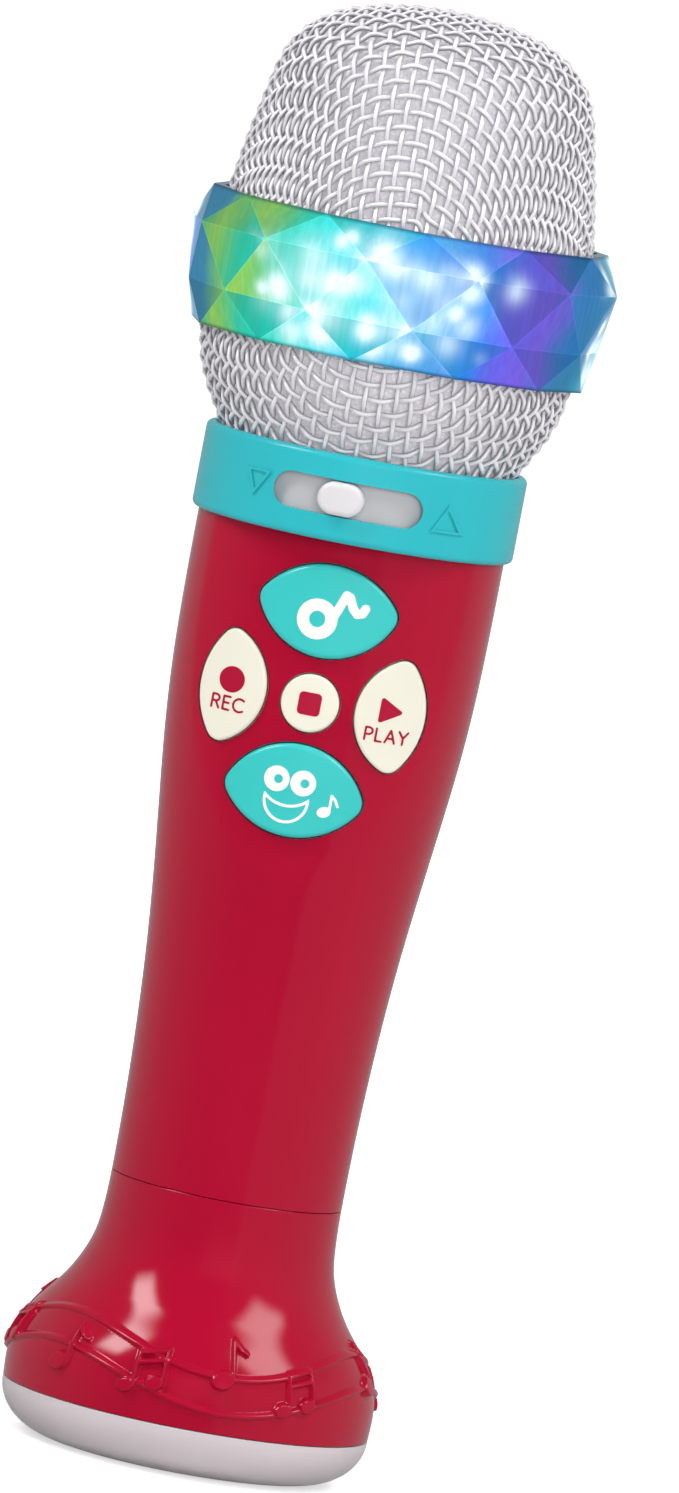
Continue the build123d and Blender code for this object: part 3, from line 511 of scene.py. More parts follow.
def cylinder_normal(points):
    """Straight out from the key field's upright axis."""
    out = points - [0, PANEL_AXIS_Y, 0]
    out[..., 2] = 0
    return unit(out)


PRINT_SINK = 0.05  # how far a print's edge runs into its key
PRINT_THICK = 0.06
TRACE_STEP = 0.14


def print_shape(piece, loop, lift, holes):
    """A printed mark: a thin raised skin with an edge."""
    (x0, z0), (x1, z1) = loop.min(0), loop.max(0)
    flat, triangles = fill(loop, grid_points(x0, x1, z0, z1, 0.5, 0.5), holes, clear=0.15)
    points = lifted(flat, lift + PRINT_THICK)
    piece.sheet(points, triangles, cylinder_normal(points))
    for edge in [loop, *holes]:
        rows = np.stack([lifted(edge, lift + PRINT_THICK), lifted(edge, lift - PRINT_SINK)])
        middle = rows.mean((0, 1))
        if edge is loop:
            piece.grid(rows, wrap=True, away=middle)
        else:
            piece.grid(rows, wrap=True, toward=middle)


# ---------------------------------------------------------------- materials
def new_material(name):
    """A new node material, its tree and its shader."""
    material = bpy.data.materials.new(name)
    material.use_nodes = True
    tree = material.node_tree
    shader = tree.nodes["Principled BSDF"]
    return material, tree, shader


def noise(tree, scale, detail=3.0, stretch=(1, 1, 1)):
    """Noise in the part's own frame; scale is per metre."""
    where = tree.nodes.new("ShaderNodeTexCoord")
    mapping = tree.nodes.new("ShaderNodeMapping")
    mapping.inputs["Scale"].default_value = stretch
    texture = tree.nodes.new("ShaderNodeTexNoise")
    texture.inputs["Scale"].default_value = scale
    texture.inputs["Detail"].default_value = detail
    tree.links.new(where.outputs["Object"], mapping.inputs["Vector"])
    tree.links.new(mapping.outputs["Vector"], texture.inputs["Vector"])
    return texture.outputs["Fac"]


def joined(tree, socket, value):
    """Feeds the socket from another socket, or sets it to a number."""
    if isinstance(value, bpy.types.NodeSocket):
        tree.links.new(value, socket)
    else:
        socket.default_value = value


def maths(tree, operation, first, second=None):
    """One Math node's result; each value is a socket or a number."""
    node = tree.nodes.new("ShaderNodeMath")
    node.operation = operation
    joined(tree, node.inputs[0], first)
    if second is not None:
        joined(tree, node.inputs[1], second)
    return node.outputs[0]


def carried(tree, name):
    """A value that the mesh carries at its points."""
    node = tree.nodes.new("ShaderNodeAttribute")
    node.attribute_name = name
    return node.outputs["Fac"]


def place_parts(tree, kind="Object"):
    """The x, y and z of the place being shaded."""
    where = tree.nodes.new("ShaderNodeTexCoord")
    split = tree.nodes.new("ShaderNodeSeparateXYZ")
    tree.links.new(where.outputs[kind], split.inputs["Vector"])
    return split.outputs["X"], split.outputs["Y"], split.outputs["Z"]


def share_round(tree, x, y):
    """How far round the upright axis a place lies: 0 and 1 at the back, 0.5 at the front."""
    turn = maths(tree, "ARCTAN2", x, maths(tree, "MULTIPLY", y, -1))
    return remap(tree, turn, 0, 1, -math.pi, math.pi)


def ramp_round(tree, share, stops):
    """Colours that run round the axis; stops are (degrees from the front, colour)."""
    ramp = tree.nodes.new("ShaderNodeValToRGB")
    tree.links.new(share, ramp.inputs["Fac"])
    elements = ramp.color_ramp.elements
    elements.remove(elements[-1])
    for i, (degrees, colour) in enumerate(stops):
        element = elements[0] if i == 0 else elements.new(degrees / 360 + 0.5)
        element.position = degrees / 360 + 0.5
        element.color = (*colour, 1)
    return ramp.outputs["Color"]


def remap(tree, value, low, high, from_low=0.3, from_high=0.7):
    """The value carried from one range to another, and held at its ends."""
    node = tree.nodes.new("ShaderNodeMapRange")
    node.inputs["From Min"].default_value = from_low
    node.inputs["From Max"].default_value = from_high
    node.inputs["To Min"].default_value = low
    node.inputs["To Max"].default_value = high
    tree.links.new(value, node.inputs["Value"])
    return node.outputs["Result"]


def blend_colours(tree, factor, first, second):
    """Two colours mixed by the factor."""
    node = tree.nodes.new("ShaderNodeMix")
    node.data_type = "RGBA"
    for socket, colour in ((node.inputs[6], first), (node.inputs[7], second)):
        joined(tree, socket, colour if isinstance(colour, bpy.types.NodeSocket) else (*colour, 1))
    tree.links.new(factor, node.inputs[0])
    return node.outputs[2]


def bump(tree, shader, height, strength, distance):
    """Fine relief in the shading."""
    node = tree.nodes.new("ShaderNodeBump")
    node.inputs["Strength"].default_value = strength
    node.inputs["Distance"].default_value = distance
    tree.links.new(height, node.inputs["Height"])
    tree.links.new(node.outputs["Normal"], shader.inputs["Normal"])


def plastic(
    name,
    colour,
    roughness=(0.16, 0.24),
    coat=0.0,
    grain=3000,
    relief=0.008,
    shift=0.03,
    glow=0.0,
    gloss=0.3,
):
    """Moulded plastic: a faint flow of colour, uneven gloss and the mould's fine skin."""
    material, tree, shader = new_material(name)
    flow = noise(tree, 70, 4, (1, 1, 0.35))
    darker = tuple(c * (1 - shift) for c in colour)
    lighter = tuple(min(c * (1 + shift), 1) for c in colour)
    tone = blend_colours(tree, remap(tree, flow, 0, 1), darker, lighter)
    tree.links.new(tone, shader.inputs["Base Color"])
    tree.links.new(remap(tree, noise(tree, 260, 5), *roughness), shader.inputs["Roughness"])
    bump(tree, shader, noise(tree, grain, 3), relief, 0.0002)
    shader.inputs["Specular IOR Level"].default_value = gloss
    shader.inputs["Coat Weight"].default_value = coat
    shader.inputs["Coat Roughness"].default_value = 0.05
    shader.inputs["Subsurface Weight"].default_value = glow
    shader.inputs["Subsurface Radius"].default_value = (0.004, 0.003, 0.003)
    shader.inputs["Subsurface Scale"].default_value = 0.5
    return material


def knob_material():
    """The slider: a pale cap standing on a greyer strip that slides behind the collar."""
    material, tree, shader = new_material("slider_plastic")
    where = tree.nodes.new("ShaderNodeTexCoord")
    flat = tree.nodes.new("ShaderNodeVectorMath")
    flat.operation = "MULTIPLY"
    flat.inputs[1].default_value = (1, 1, 0)
    tree.links.new(where.outputs["Object"], flat.inputs[0])
    reach = tree.nodes.new("ShaderNodeVectorMath")
    reach.operation = "LENGTH"
    tree.links.new(flat.outputs["Vector"], reach.inputs[0])
    cap = remap(tree, reach.outputs["Value"], 0, 1, (COLLAR_BORE + 0.4) * MM, (COLLAR_BORE + 1.2) * MM)
    tree.links.new(blend_colours(tree, cap, TRACK_GREY, KNOB_PALE), shader.inputs["Base Color"])
    tree.links.new(remap(tree, noise(tree, 500, 4), 0.3, 0.36), shader.inputs["Roughness"])
    bump(tree, shader, noise(tree, 3000, 3), 0.02, 0.0002)
    return material


def metal(name, colour, roughness=(0.25, 0.4), grain=1500):
    """Plain metal with fine scratches."""
    material, tree, shader = new_material(name)
    scratch = noise(tree, grain, 4, (1, 1, 6))
    darker = tuple(c * 0.85 for c in colour)
    tree.links.new(blend_colours(tree, scratch, darker, colour), shader.inputs["Base Color"])
    tree.links.new(remap(tree, scratch, *roughness), shader.inputs["Roughness"])
    bump(tree, shader, scratch, 0.08, 0.0002)
    shader.inputs["Metallic"].default_value = 1.0
    return material


CRIMSON = (0.41, 0.004, 0.028)
TEAL = (0.03, 0.47, 0.53)
KEY_TEAL = (0.045, 0.55, 0.53)
CREAM = (0.82, 0.79, 0.67)
PALE = (0.66, 0.60, 0.625)
TRACK_GREY = (0.52, 0.50, 0.52)
KNOB_PALE = (0.70, 0.68, 0.70)


def band_material():
    """The lit band: colour runs round it by angle, each facet has its own brightness and hot spots."""
    material, tree, shader = new_material("lit_band")
    x, y, z = place_parts(tree)
    wander = remap(tree, noise(tree, 55, 2), -0.012, 0.012)
    share = maths(tree, "ADD", share_round(tree, x, y), wander)
    share = maths(tree, "ADD", share, carried(tree, "bent"))
    colour = ramp_round(tree, share, BAND_COLOURS)
    streak = remap(tree, noise(tree, 1100, 3, (1, 1, 0.03)), 0.9, 1.08)
    line = remap(tree, carried(tree, "edge"), 1.2, 1.0, 0.0, 0.3)
    away = maths(tree, "ABSOLUTE", maths(tree, "SUBTRACT", z, BAND_MIDDLE * MM))
    rim = remap(tree, away, 1.0, 0.35, (BAND_HALF - 0.7) * MM, (BAND_HALF - 0.1) * MM)
    bright = carried(tree, "shade")
    for factor in (streak, line, rim):
        bright = maths(tree, "MULTIPLY", bright, factor)
    white = blend_colours(tree, carried(tree, "glow"), colour, (0.80, 0.98, 1.0))
    tree.links.new(white, shader.inputs["Emission Color"])
    tree.links.new(bright, shader.inputs["Emission Strength"])
    shader.inputs["Base Color"].default_value = (0.01, 0.03, 0.05, 1)
    tree.links.new(remap(tree, noise(tree, 260, 4), 0.08, 0.16), shader.inputs["Roughness"])
    shader.inputs["Specular IOR Level"].default_value = 0.07
    return material


# degrees from the front, and the light's colour there
BAND_COLOURS = [
    (-180, (0.02, 0.45, 0.75)),
    (-160, (0.03, 0.70, 0.65)),
    (-140, (0.12, 0.55, 0.25)),
    (-122, (0.03, 0.60, 0.60)),
    (-100, (0.05, 0.25, 0.80)),
    (-84, (0.01, 0.17, 0.34)),
    (-68, (0.01, 0.20, 0.34)),
    (-59, (0.10, 0.42, 0.14)),
    (-51, (0.26, 0.54, 0.06)),
    (-44, (0.14, 0.52, 0.12)),
    (-37, (0.02, 0.56, 0.34)),
    (-28, (0.0, 0.64, 0.50)),
    (-14, (0.01, 0.70, 0.74)),
    (0, (0.01, 0.56, 0.86)),
    (12, (0.01, 0.36, 0.84)),
    (27, (0.02, 0.20, 0.78)),
    (36, (0.14, 0.10, 0.80)),
    (48, (0.18, 0.09, 0.72)),
    (58, (0.02, 0.17, 0.48)),
    (80, (0.01, 0.18, 0.36)),
    (104, (0.03, 0.50, 0.60)),
    (126, (0.30, 0.10, 0.70)),
    (148, (0.05, 0.25, 0.80)),
    (180, (0.02, 0.45, 0.75)),
]
HOT_ANGLES = (-4, 116, -124)  # where the lamps shine straight through
LAMP_REACH = 4  # columns of lamp images each side of a hot angle, and the degrees between them
LAMP_STEP = 8.5
LAMP_ROWS = (-0.5, 0.0, 0.5)
FACET_SHIFT = 1.5  # how far a facet moves the lamp images, and turns the colours as a share of the round
FACET_BEND = 0.016
FACET_BASE = (0.84, 0.62)  # least brightness of facets that point up, and of those that point down
FACET_VARIES = 0.34
LAMP_ADDS = 0.22  # brightness added in front of a lamp, which fades over LAMP_SPREAD degrees
LAMP_SPREAD = 34
OUTER_ROWS = 0.86  # share of the brightness left in the top and bottom rows


def mesh_material():
    """Silver-painted wire with painted shade: full colour along its crown, darker down its sides."""
    material, tree, shader = new_material("painted_wire")
    worn = remap(tree, noise(tree, 140, 4), 0, 1)
    worn = blend_colours(tree, worn, (0.84, 0.82, 0.86), (0.95, 0.93, 0.97))
    # painted shade: the colour darkens down each wire's sides, where the weave shades it
    side_shade = remap(tree, carried(tree, "crown"), 0, 1, -0.18, 0.75)
    tree.links.new(blend_colours(tree, side_shade, (0.27, 0.265, 0.28), worn), shader.inputs["Base Color"])
    tree.links.new(remap(tree, noise(tree, 700, 4), 0.28, 0.42), shader.inputs["Roughness"])
    bump(tree, shader, noise(tree, 2500, 3), 0.15, 0.0002)
    shader.inputs["Metallic"].default_value = 0.2
    return material


def foam_material(name, colour):
    """Open foam behind the wires: pitted, soft and matt, with a faint painted glow."""
    material, tree, shader = new_material(name)
    pits = tree.nodes.new("ShaderNodeTexVoronoi")
    pits.inputs["Scale"].default_value = 1500
    where = tree.nodes.new("ShaderNodeTexCoord")
    tree.links.new(where.outputs["Object"], pits.inputs["Vector"])
    dark = tuple(c * 0.72 for c in colour)
    tone = remap(tree, pits.outputs["Distance"], 0, 1, 0, 0.6)
    tree.links.new(blend_colours(tree, tone, colour, dark), shader.inputs["Base Color"])
    bump(tree, shader, pits.outputs["Distance"], 0.5, 0.0004)
    shader.inputs["Roughness"].default_value = 0.9
    # painted light: the foam glows faintly, though it is no lamp, so that the holes between the wires read
    # bright
    shader.inputs["Emission Color"].default_value = (0.92, 0.88, 0.97, 1)
    shader.inputs["Emission Strength"].default_value = FOAM_PAINTED_GLOW
    return material


def floor_material():
    """The studio's pale paper; further out it is shown white, so that it runs into the background.

    From beneath it is clear, so that the foot's underside can be seen.
    """
    material, tree, shader = new_material("pale_floor")
    fibre = noise(tree, 350, 4)
    colour = blend_colours(tree, fibre, (0.60, 0.60, 0.60), (0.64, 0.64, 0.64))
    tree.links.new(colour, shader.inputs["Base Color"])
    shader.inputs["Roughness"].default_value = 0.9
    shader.inputs["Specular IOR Level"].default_value = 0.1
    shader.inputs["Emission Color"].default_value = (1, 1, 1, 1)
    paths = tree.nodes.new("ShaderNodeLightPath")
    where = tree.nodes.new("ShaderNodeTexCoord")
    reach = tree.nodes.new("ShaderNodeVectorMath")
    reach.operation = "LENGTH"
    tree.links.new(where.outputs["Object"], reach.inputs[0])
    shown = remap(tree, reach.outputs["Value"], FLOOR_SHOWN, 1.0, 0.1, 0.7)
    glow = maths(tree, "MULTIPLY", shown, paths.outputs["Is Camera Ray"])
    tree.links.new(glow, shader.inputs["Emission Strength"])
    side = tree.nodes.new("ShaderNodeNewGeometry")
    clear = tree.nodes.new("ShaderNodeBsdfTransparent")
    either = tree.nodes.new("ShaderNodeMixShader")
    tree.links.new(side.outputs["Backfacing"], either.inputs["Fac"])
    tree.links.new(shader.outputs["BSDF"], either.inputs[1])
    tree.links.new(clear.outputs["BSDF"], either.inputs[2])
    tree.links.new(either.outputs["Shader"], tree.nodes["Material Output"].inputs["Surface"])
    return material


# ---------------------------------------------------------------- head: woven wire
def arc_table(line):
    """Arc length from the line's first point, radius and height, as arrays."""
    step = np.hypot(*np.diff(line, axis=0).T)
    return np.concatenate([[0], np.cumsum(step)]), line[:, 0], line[:, 1]


class Weave:
    """A square woven sheet drawn down over a turned form until every cell keeps its wire lengths."""

    def __init__(self, line, reach, steps):
        """line runs from the apex on the axis to the rim; reach is how many cells lie along it."""
        self.arc, self.radius, self.height = arc_table(line)
        self.rim = self.height[-1]
        self.down = -1 if self.rim < self.height[0] else 1
        side = np.arange(-reach, reach + 1)
        self.i, self.j = np.meshgrid(side, side, indexing="ij")
        self.used = np.abs(self.i) + np.abs(self.j) <= reach * 1.32
        arc = WEAVE_PITCH * np.hypot(self.i, self.j)
        angle = np.arctan2(self.i, self.j)
        over = np.maximum(arc - self.arc[-1], 0)
        radius = np.interp(arc, self.arc, self.radius)
        height = np.interp(arc, self.arc, self.height) + self.down * over
        self.p = on_axis(radius, angle, height)
        # from each direction seen from the rim's centre, the form's radius and height
        self.look = np.arctan2(self.radius, self.down * (self.rim - self.height))
        self.settle(steps)

    def onto(self, p):
        """Points moved onto the form, and straight down past its rim."""
        across = np.hypot(p[..., 0], p[..., 1])
        above = self.down * (self.rim - p[..., 2])
        look = np.arctan2(across, np.maximum(above, 0))
        radius = np.interp(look, self.look, self.radius)
        height = np.interp(look, self.look, self.height)
        past = above < 0
        radius = np.where(past, self.radius[-1], radius)
        height = np.where(past, p[..., 2], height)
        scale = (radius / np.maximum(across, 1e-9))[..., None]
        return np.concatenate([p[..., :2] * scale, height[..., None]], -1)

    def settle(self, steps):
        """Relaxes the sheet: every move is followed by a return to the form."""
        p, used = self.p, self.used
        straight = [((1, 0), k) for k in (0, 1)] + [((0, 1), k) for k in (0, 1)]
        for _ in range(steps):
            for (di, dj), odd in straight:
                rows = slice(odd, None, 2) if di else slice(None)
                columns = slice(odd, None, 2) if dj else slice(None)
                self.pull(p, used, rows, columns, di, dj)
            self.keep_open(p, used, 1)
            self.keep_open(p, used, -1)
            self.straighten(p, used)
            p[:] = self.onto(p)
        self.p = p

    def pull(self, p, used, rows, columns, di, dj):
        """Brings each pair of neighbours back to one pitch apart."""
        size = p.shape[0]
        a_rows, a_columns = (np.arange(size)[s] for s in (rows, columns))
        a_rows = a_rows[a_rows + di < size]
        a_columns = a_columns[a_columns + dj < size]
        a = np.ix_(a_rows, a_columns)
        b = np.ix_(a_rows + di, a_columns + dj)
        gap = p[b] - p[a]
        length = np.linalg.norm(gap, axis=-1, keepdims=True)
        both = (used[a] & used[b])[..., None]
        move = np.where(both, 0.5 * (length - WEAVE_PITCH) / length * gap, 0)
        p[a] += move
        p[b] -= move

    def straighten(self, p, used):
        """Wires are springy, so every one keeps a fair curve."""
        both = (used[2:] & used[1:-1] & used[:-2])[..., None]
        along = np.where(both, (p[2:] + p[:-2]) / 2 - p[1:-1], 0)
        both = (used[:, 2:] & used[:, 1:-1] & used[:, :-2])[..., None]
        across = np.where(both, (p[:, 2:] + p[:, :-2]) / 2 - p[:, 1:-1], 0)
        p[1:-1] += WIRE_SPRING * along
        p[:, 1:-1] += WIRE_SPRING * across

    def keep_open(self, p, used, dj):
        """A woven cell shears only so far before its wires touch."""
        least = WEAVE_PITCH * SHEAR_LOCK
        a = (slice(None, -1), slice(None, -1) if dj > 0 else slice(1, None))
        b = (slice(1, None), slice(1, None) if dj > 0 else slice(None, -1))
        gap = p[b] - p[a]
        length = np.linalg.norm(gap, axis=-1, keepdims=True)
        tight = (used[a] & used[b])[..., None] & (length < least)
        move = np.where(tight, 0.25 * (length - least) / length * gap, 0)
        p[a] += move
        p[b] -= move

    def normals(self):
        """The sheet's outward normal at every crossing."""
        along = np.gradient(self.p, axis=0)
        across = np.gradient(self.p, axis=1)
        normal = unit(np.cross(along, across))
        out = self.p - [0, 0, self.rim]
        wrong = np.einsum("ijk,ijk->ij", normal, out) < 0
        normal[wrong] *= -1
        return normal


WIRE_SPRING = 0.12
SHEAR_LOCK = 0.62  # shortest diagonal of a sheared cell, in pitches
WIRE_SAMPLES = 4  # per cell
DOME_CELLS = 26  # cells from the apex to the sheet's edge, and how many steps settle them
DOME_STEPS = 900
BOWL_CELLS = 24
BOWL_STEPS = 700
DOME_CUT = (224.3, 300.0)  # the heights between which the wires are kept
BOWL_CUT = (183.2, 206.0)
FOAM_DEPTH = 2.1  # how far the foam's skin lies behind the head's outline


def between(points, samples):
    """A smooth path through the points, samples to each gap."""
    p = np.vstack([2 * points[:1] - points[1:2], points, 2 * points[-1:] - points[-2:-1]])
    t = np.arange(samples)[:, None] / samples
    a, b, c, d = (p[k : len(p) - 3 + k][:, None] for k in range(4))
    path = 0.5 * (2 * b + (c - a) * t + (2 * a - 5 * b + 4 * c - d) * t**2 + (3 * b - a - 3 * c + d) * t**3)
    return np.vstack([path.reshape(-1, 3), points[-1:]])


def weave_piece(line, reach, steps, low, high):
    """Every wire of the woven sheet as a crimped round wire, cut off at two heights."""
    weave = Weave(line, reach, steps)
    normal = weave.normals()
    piece = Piece()
    sign = np.where((weave.i + weave.j) % 2 == 0, 1.0, -1.0)[..., None]
    for family in (0, 1):
        centre = weave.p + normal * sign * WIRE_RADIUS * (1 if family == 0 else -1)
        for k in range(centre.shape[0]):
            used = weave.used[k] if family == 0 else weave.used[:, k]
            row = centre[k] if family == 0 else centre[:, k]
            out = normal[k] if family == 0 else normal[:, k]
            if used.sum() < 4:
                continue
            path = between(row[used], WIRE_SAMPLES)
            hint = unit(between(out[used], WIRE_SAMPLES))
            shown = (path[:, 2] >= low) & (path[:, 2] <= high)
            starts = np.flatnonzero(np.diff(np.concatenate([[0], shown.astype(int), [0]])))
            for first, last in zip(starts[::2], starts[1::2]):
                if last - first >= 3:
                    piece.tube(path[first:last], WIRE_RADIUS, hint[first:last])
    return piece


def build_head(wire, foam):
    """The dome and the bowl as woven wire, each over its foam."""
    dome = smooth_curve(DOME_PROFILE, (0, 1), (-1, 0), 500)[::-1]
    dome_middle = shrink(dome, 2 * WIRE_RADIUS)
    piece = weave_piece(dome_middle, DOME_CELLS, DOME_STEPS, *DOME_CUT)
    make("dome_wire", piece, wire, "case", ["dome_grille"])

    bowl = smooth_curve(BOWL_PROFILE, (0.5, 1), (0, 1), 300)
    bottom = smooth_curve(BOWL_FLOOR, (1, 0), (0.5, 1), 200)
    bowl_middle = shrink(np.vstack([bottom[:-1], bowl]), 2 * WIRE_RADIUS)
    piece = weave_piece(bowl_middle, BOWL_CELLS, BOWL_STEPS, *BOWL_CUT)
    make("bowl_wire", piece, wire, "case", ["bowl_grille"])

    piece = Piece()
    piece.lathe(shrink(dome, FOAM_DEPTH), 160, away=(0, 230))
    make("dome_foam", piece, foam, "case", ["dome_liner"])
    piece = Piece()
    piece.lathe(shrink(bowl, FOAM_DEPTH), 160, away=(0, 200))
    make("bowl_foam", piece, foam, "case", ["bowl_liner"])


def shrink(line, depth):
    """The line moved inwards, square to itself, for a form whose middle lies on the axis."""
    slope = unit(np.gradient(line, axis=0))
    side = np.stack([slope[:, 1], -slope[:, 0]], 1)
    if (side * (line - [0, line[:, 1].mean()])).sum() > 0:
        side = -side
    moved = line + depth * side
    return np.stack([np.maximum(moved[:, 0], 0), moved[:, 1]], 1)


# ---------------------------------------------------------------- head: light band
def lamp_images(random):
    """The lamps as the band's prisms show them: (turn, height, size, strength) of each blurred spot."""
    images = []
    for hot in HOT_ANGLES:
        images += [(math.radians(hot + side * 15), BAND_MIDDLE, 8.0, 0.3) for side in (-1, 1)]
        for column in range(-LAMP_REACH, LAMP_REACH + 1):
            for row in LAMP_ROWS:
                turn = math.radians(hot + LAMP_STEP * column + random.normal(0, 2.6))
                z = BAND_MIDDLE + (row + random.normal(0, 0.12)) * BAND_HALF
                fade = 1.0 - 0.5 * abs(column) / LAMP_REACH
                images.append((turn, z, random.uniform(1.3, 3.4), fade * random.uniform(0.2, 1.9)))
    return images


def build_band(material):
    """The faceted band. Each flat facet is divided finely, and bends the light its own way."""
    random = np.random.default_rng(RANDOM_SEED)
    images = lamp_images(random)
    step = 2 * math.pi / RING_SIDES
    rows = []
    for radius, z, half_steps in RING_ROWS:
        start = math.radians(RING_PHASE) + half_steps * step / 2
        rows.append(on_axis(radius, start + step * np.arange(RING_SIDES), z))
    piece = Piece()
    fine = 20
    a, b = np.meshgrid(np.arange(fine + 1), np.arange(fine + 1), indexing="ij")
    used = a + b <= fine
    number = np.full(used.shape, -1)
    number[used] = np.arange(used.sum())
    share = np.stack([(fine - a - b)[used], a[used], b[used]], 1) / fine
    small = []
    for i in range(fine):
        for j in range(fine - i):
            small.append([number[i, j], number[i + 1, j], number[i, j + 1]])
            if i + j < fine - 1:
                small.append([number[i + 1, j], number[i + 1, j + 1], number[i, j + 1]])
    small = np.array(small)
    for level in range(3):
        low, high = rows[level], rows[level + 1]
        turned = RING_ROWS[level][2] == 1
        for i in range(RING_SIDES):
            j = (i + 1) % RING_SIDES
            over, under = (j, i) if turned else (i, j)
            facets = [(low[i], low[j], high[over]), (high[i], high[j], low[under])]
            for k, corners in enumerate(facets):
                corners = np.array(corners)
                points = share @ corners
                middle = corners.mean(0)
                angle = math.degrees(math.atan2(middle[0], -middle[1]))
                normal = np.cross(corners[1] - corners[0], corners[2] - corners[0])
                if normal @ (middle * [1, 1, 0]) < 0:
                    normal = -normal
                turns = [((angle - hot + 540) % 360 - 180) / LAMP_SPREAD for hot in HOT_ANGLES]
                lamp = max(math.exp(-(turn**4)) for turn in turns)
                shade = FACET_BASE[k] + FACET_VARIES * random.random() + LAMP_ADDS * lamp
                if level != 1:
                    shade *= OUTER_ROWS
                shift = random.normal(0, FACET_SHIFT, 2)
                round_at = np.arctan2(points[:, 0], -points[:, 1])
                glow = np.zeros(len(points))
                for turn, z, size, strength in images:
                    gap = (round_at - turn + math.pi) % (2 * math.pi) - math.pi
                    away = np.hypot(gap * RING_ROWS[1][0] + shift[0], points[:, 2] - z + shift[1])
                    glow += strength * np.exp(-((away / size) ** 2))
                glow = np.clip(glow, 0, 1)
                piece.sheet(
                    points,
                    small,
                    np.broadcast_to(normal, points.shape),
                    shade=shade + (1.15 - shade) * glow,
                    glow=glow,
                    bent=np.full(len(points), random.normal(0, FACET_BEND)),
                    edge=share.min(1) * 16,
                )
    for row, z in ((rows[0], RING_ROWS[0][1]), (rows[-1], RING_ROWS[-1][1])):
        edge = np.vstack([row, row[:1]])
        t = np.arctan2(edge[:, 0], -edge[:, 1])
        inner = on_axis(RING_BORE, t, z)
        sign = -1.0 if z < 215 else 1.0
        index = np.arange(RING_SIDES)
        quads = np.stack([index, index + 1, index + 2 + RING_SIDES, index + 1 + RING_SIDES], 1)
        flat = np.broadcast_to([0, 0, sign], (2 * len(edge), 3))
        shade = np.full(2 * len(edge), 0.55)
        piece.sheet(np.vstack([edge, inner]), quads, flat, shade=shade, edge=np.ones(2 * len(edge)))
    z = np.array([RING_ROWS[0][1], RING_ROWS[-1][1]])
    piece.lathe(np.stack([np.full(2, RING_BORE), z], 1), 96, toward=(0, 215))
    make("lit_band", piece, material, "case", ["light_ring"])


# ---------------------------------------------------------------- handle, keys and collar
SEAM_SHADE_SWEEP = 28.0  # degrees of dark sheet behind each case seam, painted shade that darkens the gap, clear of the pressed keys
SEAM_SHADE_GAP = 1.6


def build_handle(crimson, dark):
    """The front and rear shells with their openings, and a dark sheet of painted shade behind each seam."""
    front = Piece()
    holes = [key_loop(name, FIT_GAP) for name in KEYS]
    shell_half(front, 0.0, holes, [None] * len(holes))
    make("front_skin", front, crimson, "case", ["handle_front"])

    rear = Piece()
    door = box_loop(DOOR_WIDTH, DOOR_TOP - DOOR_BOTTOM, DOOR_CORNER, FIT_GAP)
    door = placed(door, 0, (DOOR_TOP + DOOR_BOTTOM) / 2)
    wells = [placed(circle_loop(WELL_RADIUS, 0, WELL_POINTS), x, z) for x, z in CASE_BOSSES]
    shell_half(rear, math.pi, [door, *wells], [None] + [WELL_FLOOR_Y] * len(wells))
    for (x, z), loop in zip(CASE_BOSSES, wells):
        y = WELL_FLOOR_Y + WELL_FLOOR_LIFT
        floor = np.stack([loop[:, 0], np.full(WELL_POINTS, y), loop[:, 1]], 1)
        floor = np.vstack([floor, [[x, y, z]]])
        fan = [[i, (i + 1) % WELL_POINTS, WELL_POINTS] for i in range(WELL_POINTS)]
        rear.sheet(floor, fan, np.broadcast_to([0, 1, 0], floor.shape))
    make("rear_skin", rear, crimson, "case", ["handle_rear"])

    # painted shade: a dark sheet inside each seam, so that the gap reads dark
    shade_sheet = Piece()
    inner = HANDLE_LINE.copy()
    inner[:, 0] -= WALL + SEAM_SHADE_GAP
    for side in (-90, 90):
        start = math.radians(side - SEAM_SHADE_SWEEP / 2)
        shade_sheet.lathe(inner, 45, away=(0, 110), start=start, sweep=math.radians(SEAM_SHADE_SWEEP))
    make("seam_shade_sheet", shade_sheet, dark, "case", [])


def dense(line, step):
    """The same line with points every step, so that shading turns only at its corners."""
    line = np.asarray(line, float)
    parts = []
    for a, b in zip(line, line[1:]):
        count = max(int(np.hypot(*(b - a)) / step), 1)
        parts.append(a + (b - a) * np.linspace(0, 1, count, endpoint=False)[:, None])
    return np.vstack([*parts, line[-1:]])


def build_bells(silicone):
    """The silicone bells under the keys; each one gets a mesh of its own."""
    line = dense(BELL_LINE, 0.08)
    for name, (_, _, _, _, _, _, stem_x, stem_z, _) in KEYS.items():
        bell = Piece()
        bell.lathe(line, 48, away=BELL_INSIDE)
        anchor = np.array([stem_x, BOARD_FRONT, stem_z])
        bell.points = [anchor + p[:, [0, 2, 1]] * [1, -1, 1] for p in bell.points]
        bell.normals = [n[:, [0, 2, 1]] * [1, -1, 1] for n in bell.normals]
        made = make(f"{name}_bell", bell, silicone, "case", [f"dome_{name}"])
        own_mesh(made)


# ---------------------------------------------------------------- base
FLARE_LINE = smooth_curve(FLARE_PROFILE, (0.05, 1), (0, 1), 400)
RELIEF_SCALE = 32.0
LINE_RELIEF = 0.75
LINE_HALF = 0.68
NOTE_EDGE = 0.42  # width of the slope at a moulded note's edge


def capsule(s, z, s0, z0, s1, z1, radius):
    """Distance outside a thick stroke."""
    ds, dz = s1 - s0, z1 - z0
    along = np.clip(((s - s0) * ds + (z - z0) * dz) / (ds * ds + dz * dz), 0, 1)
    return np.hypot(s - s0 - along * ds, z - z0 - along * dz) - radius


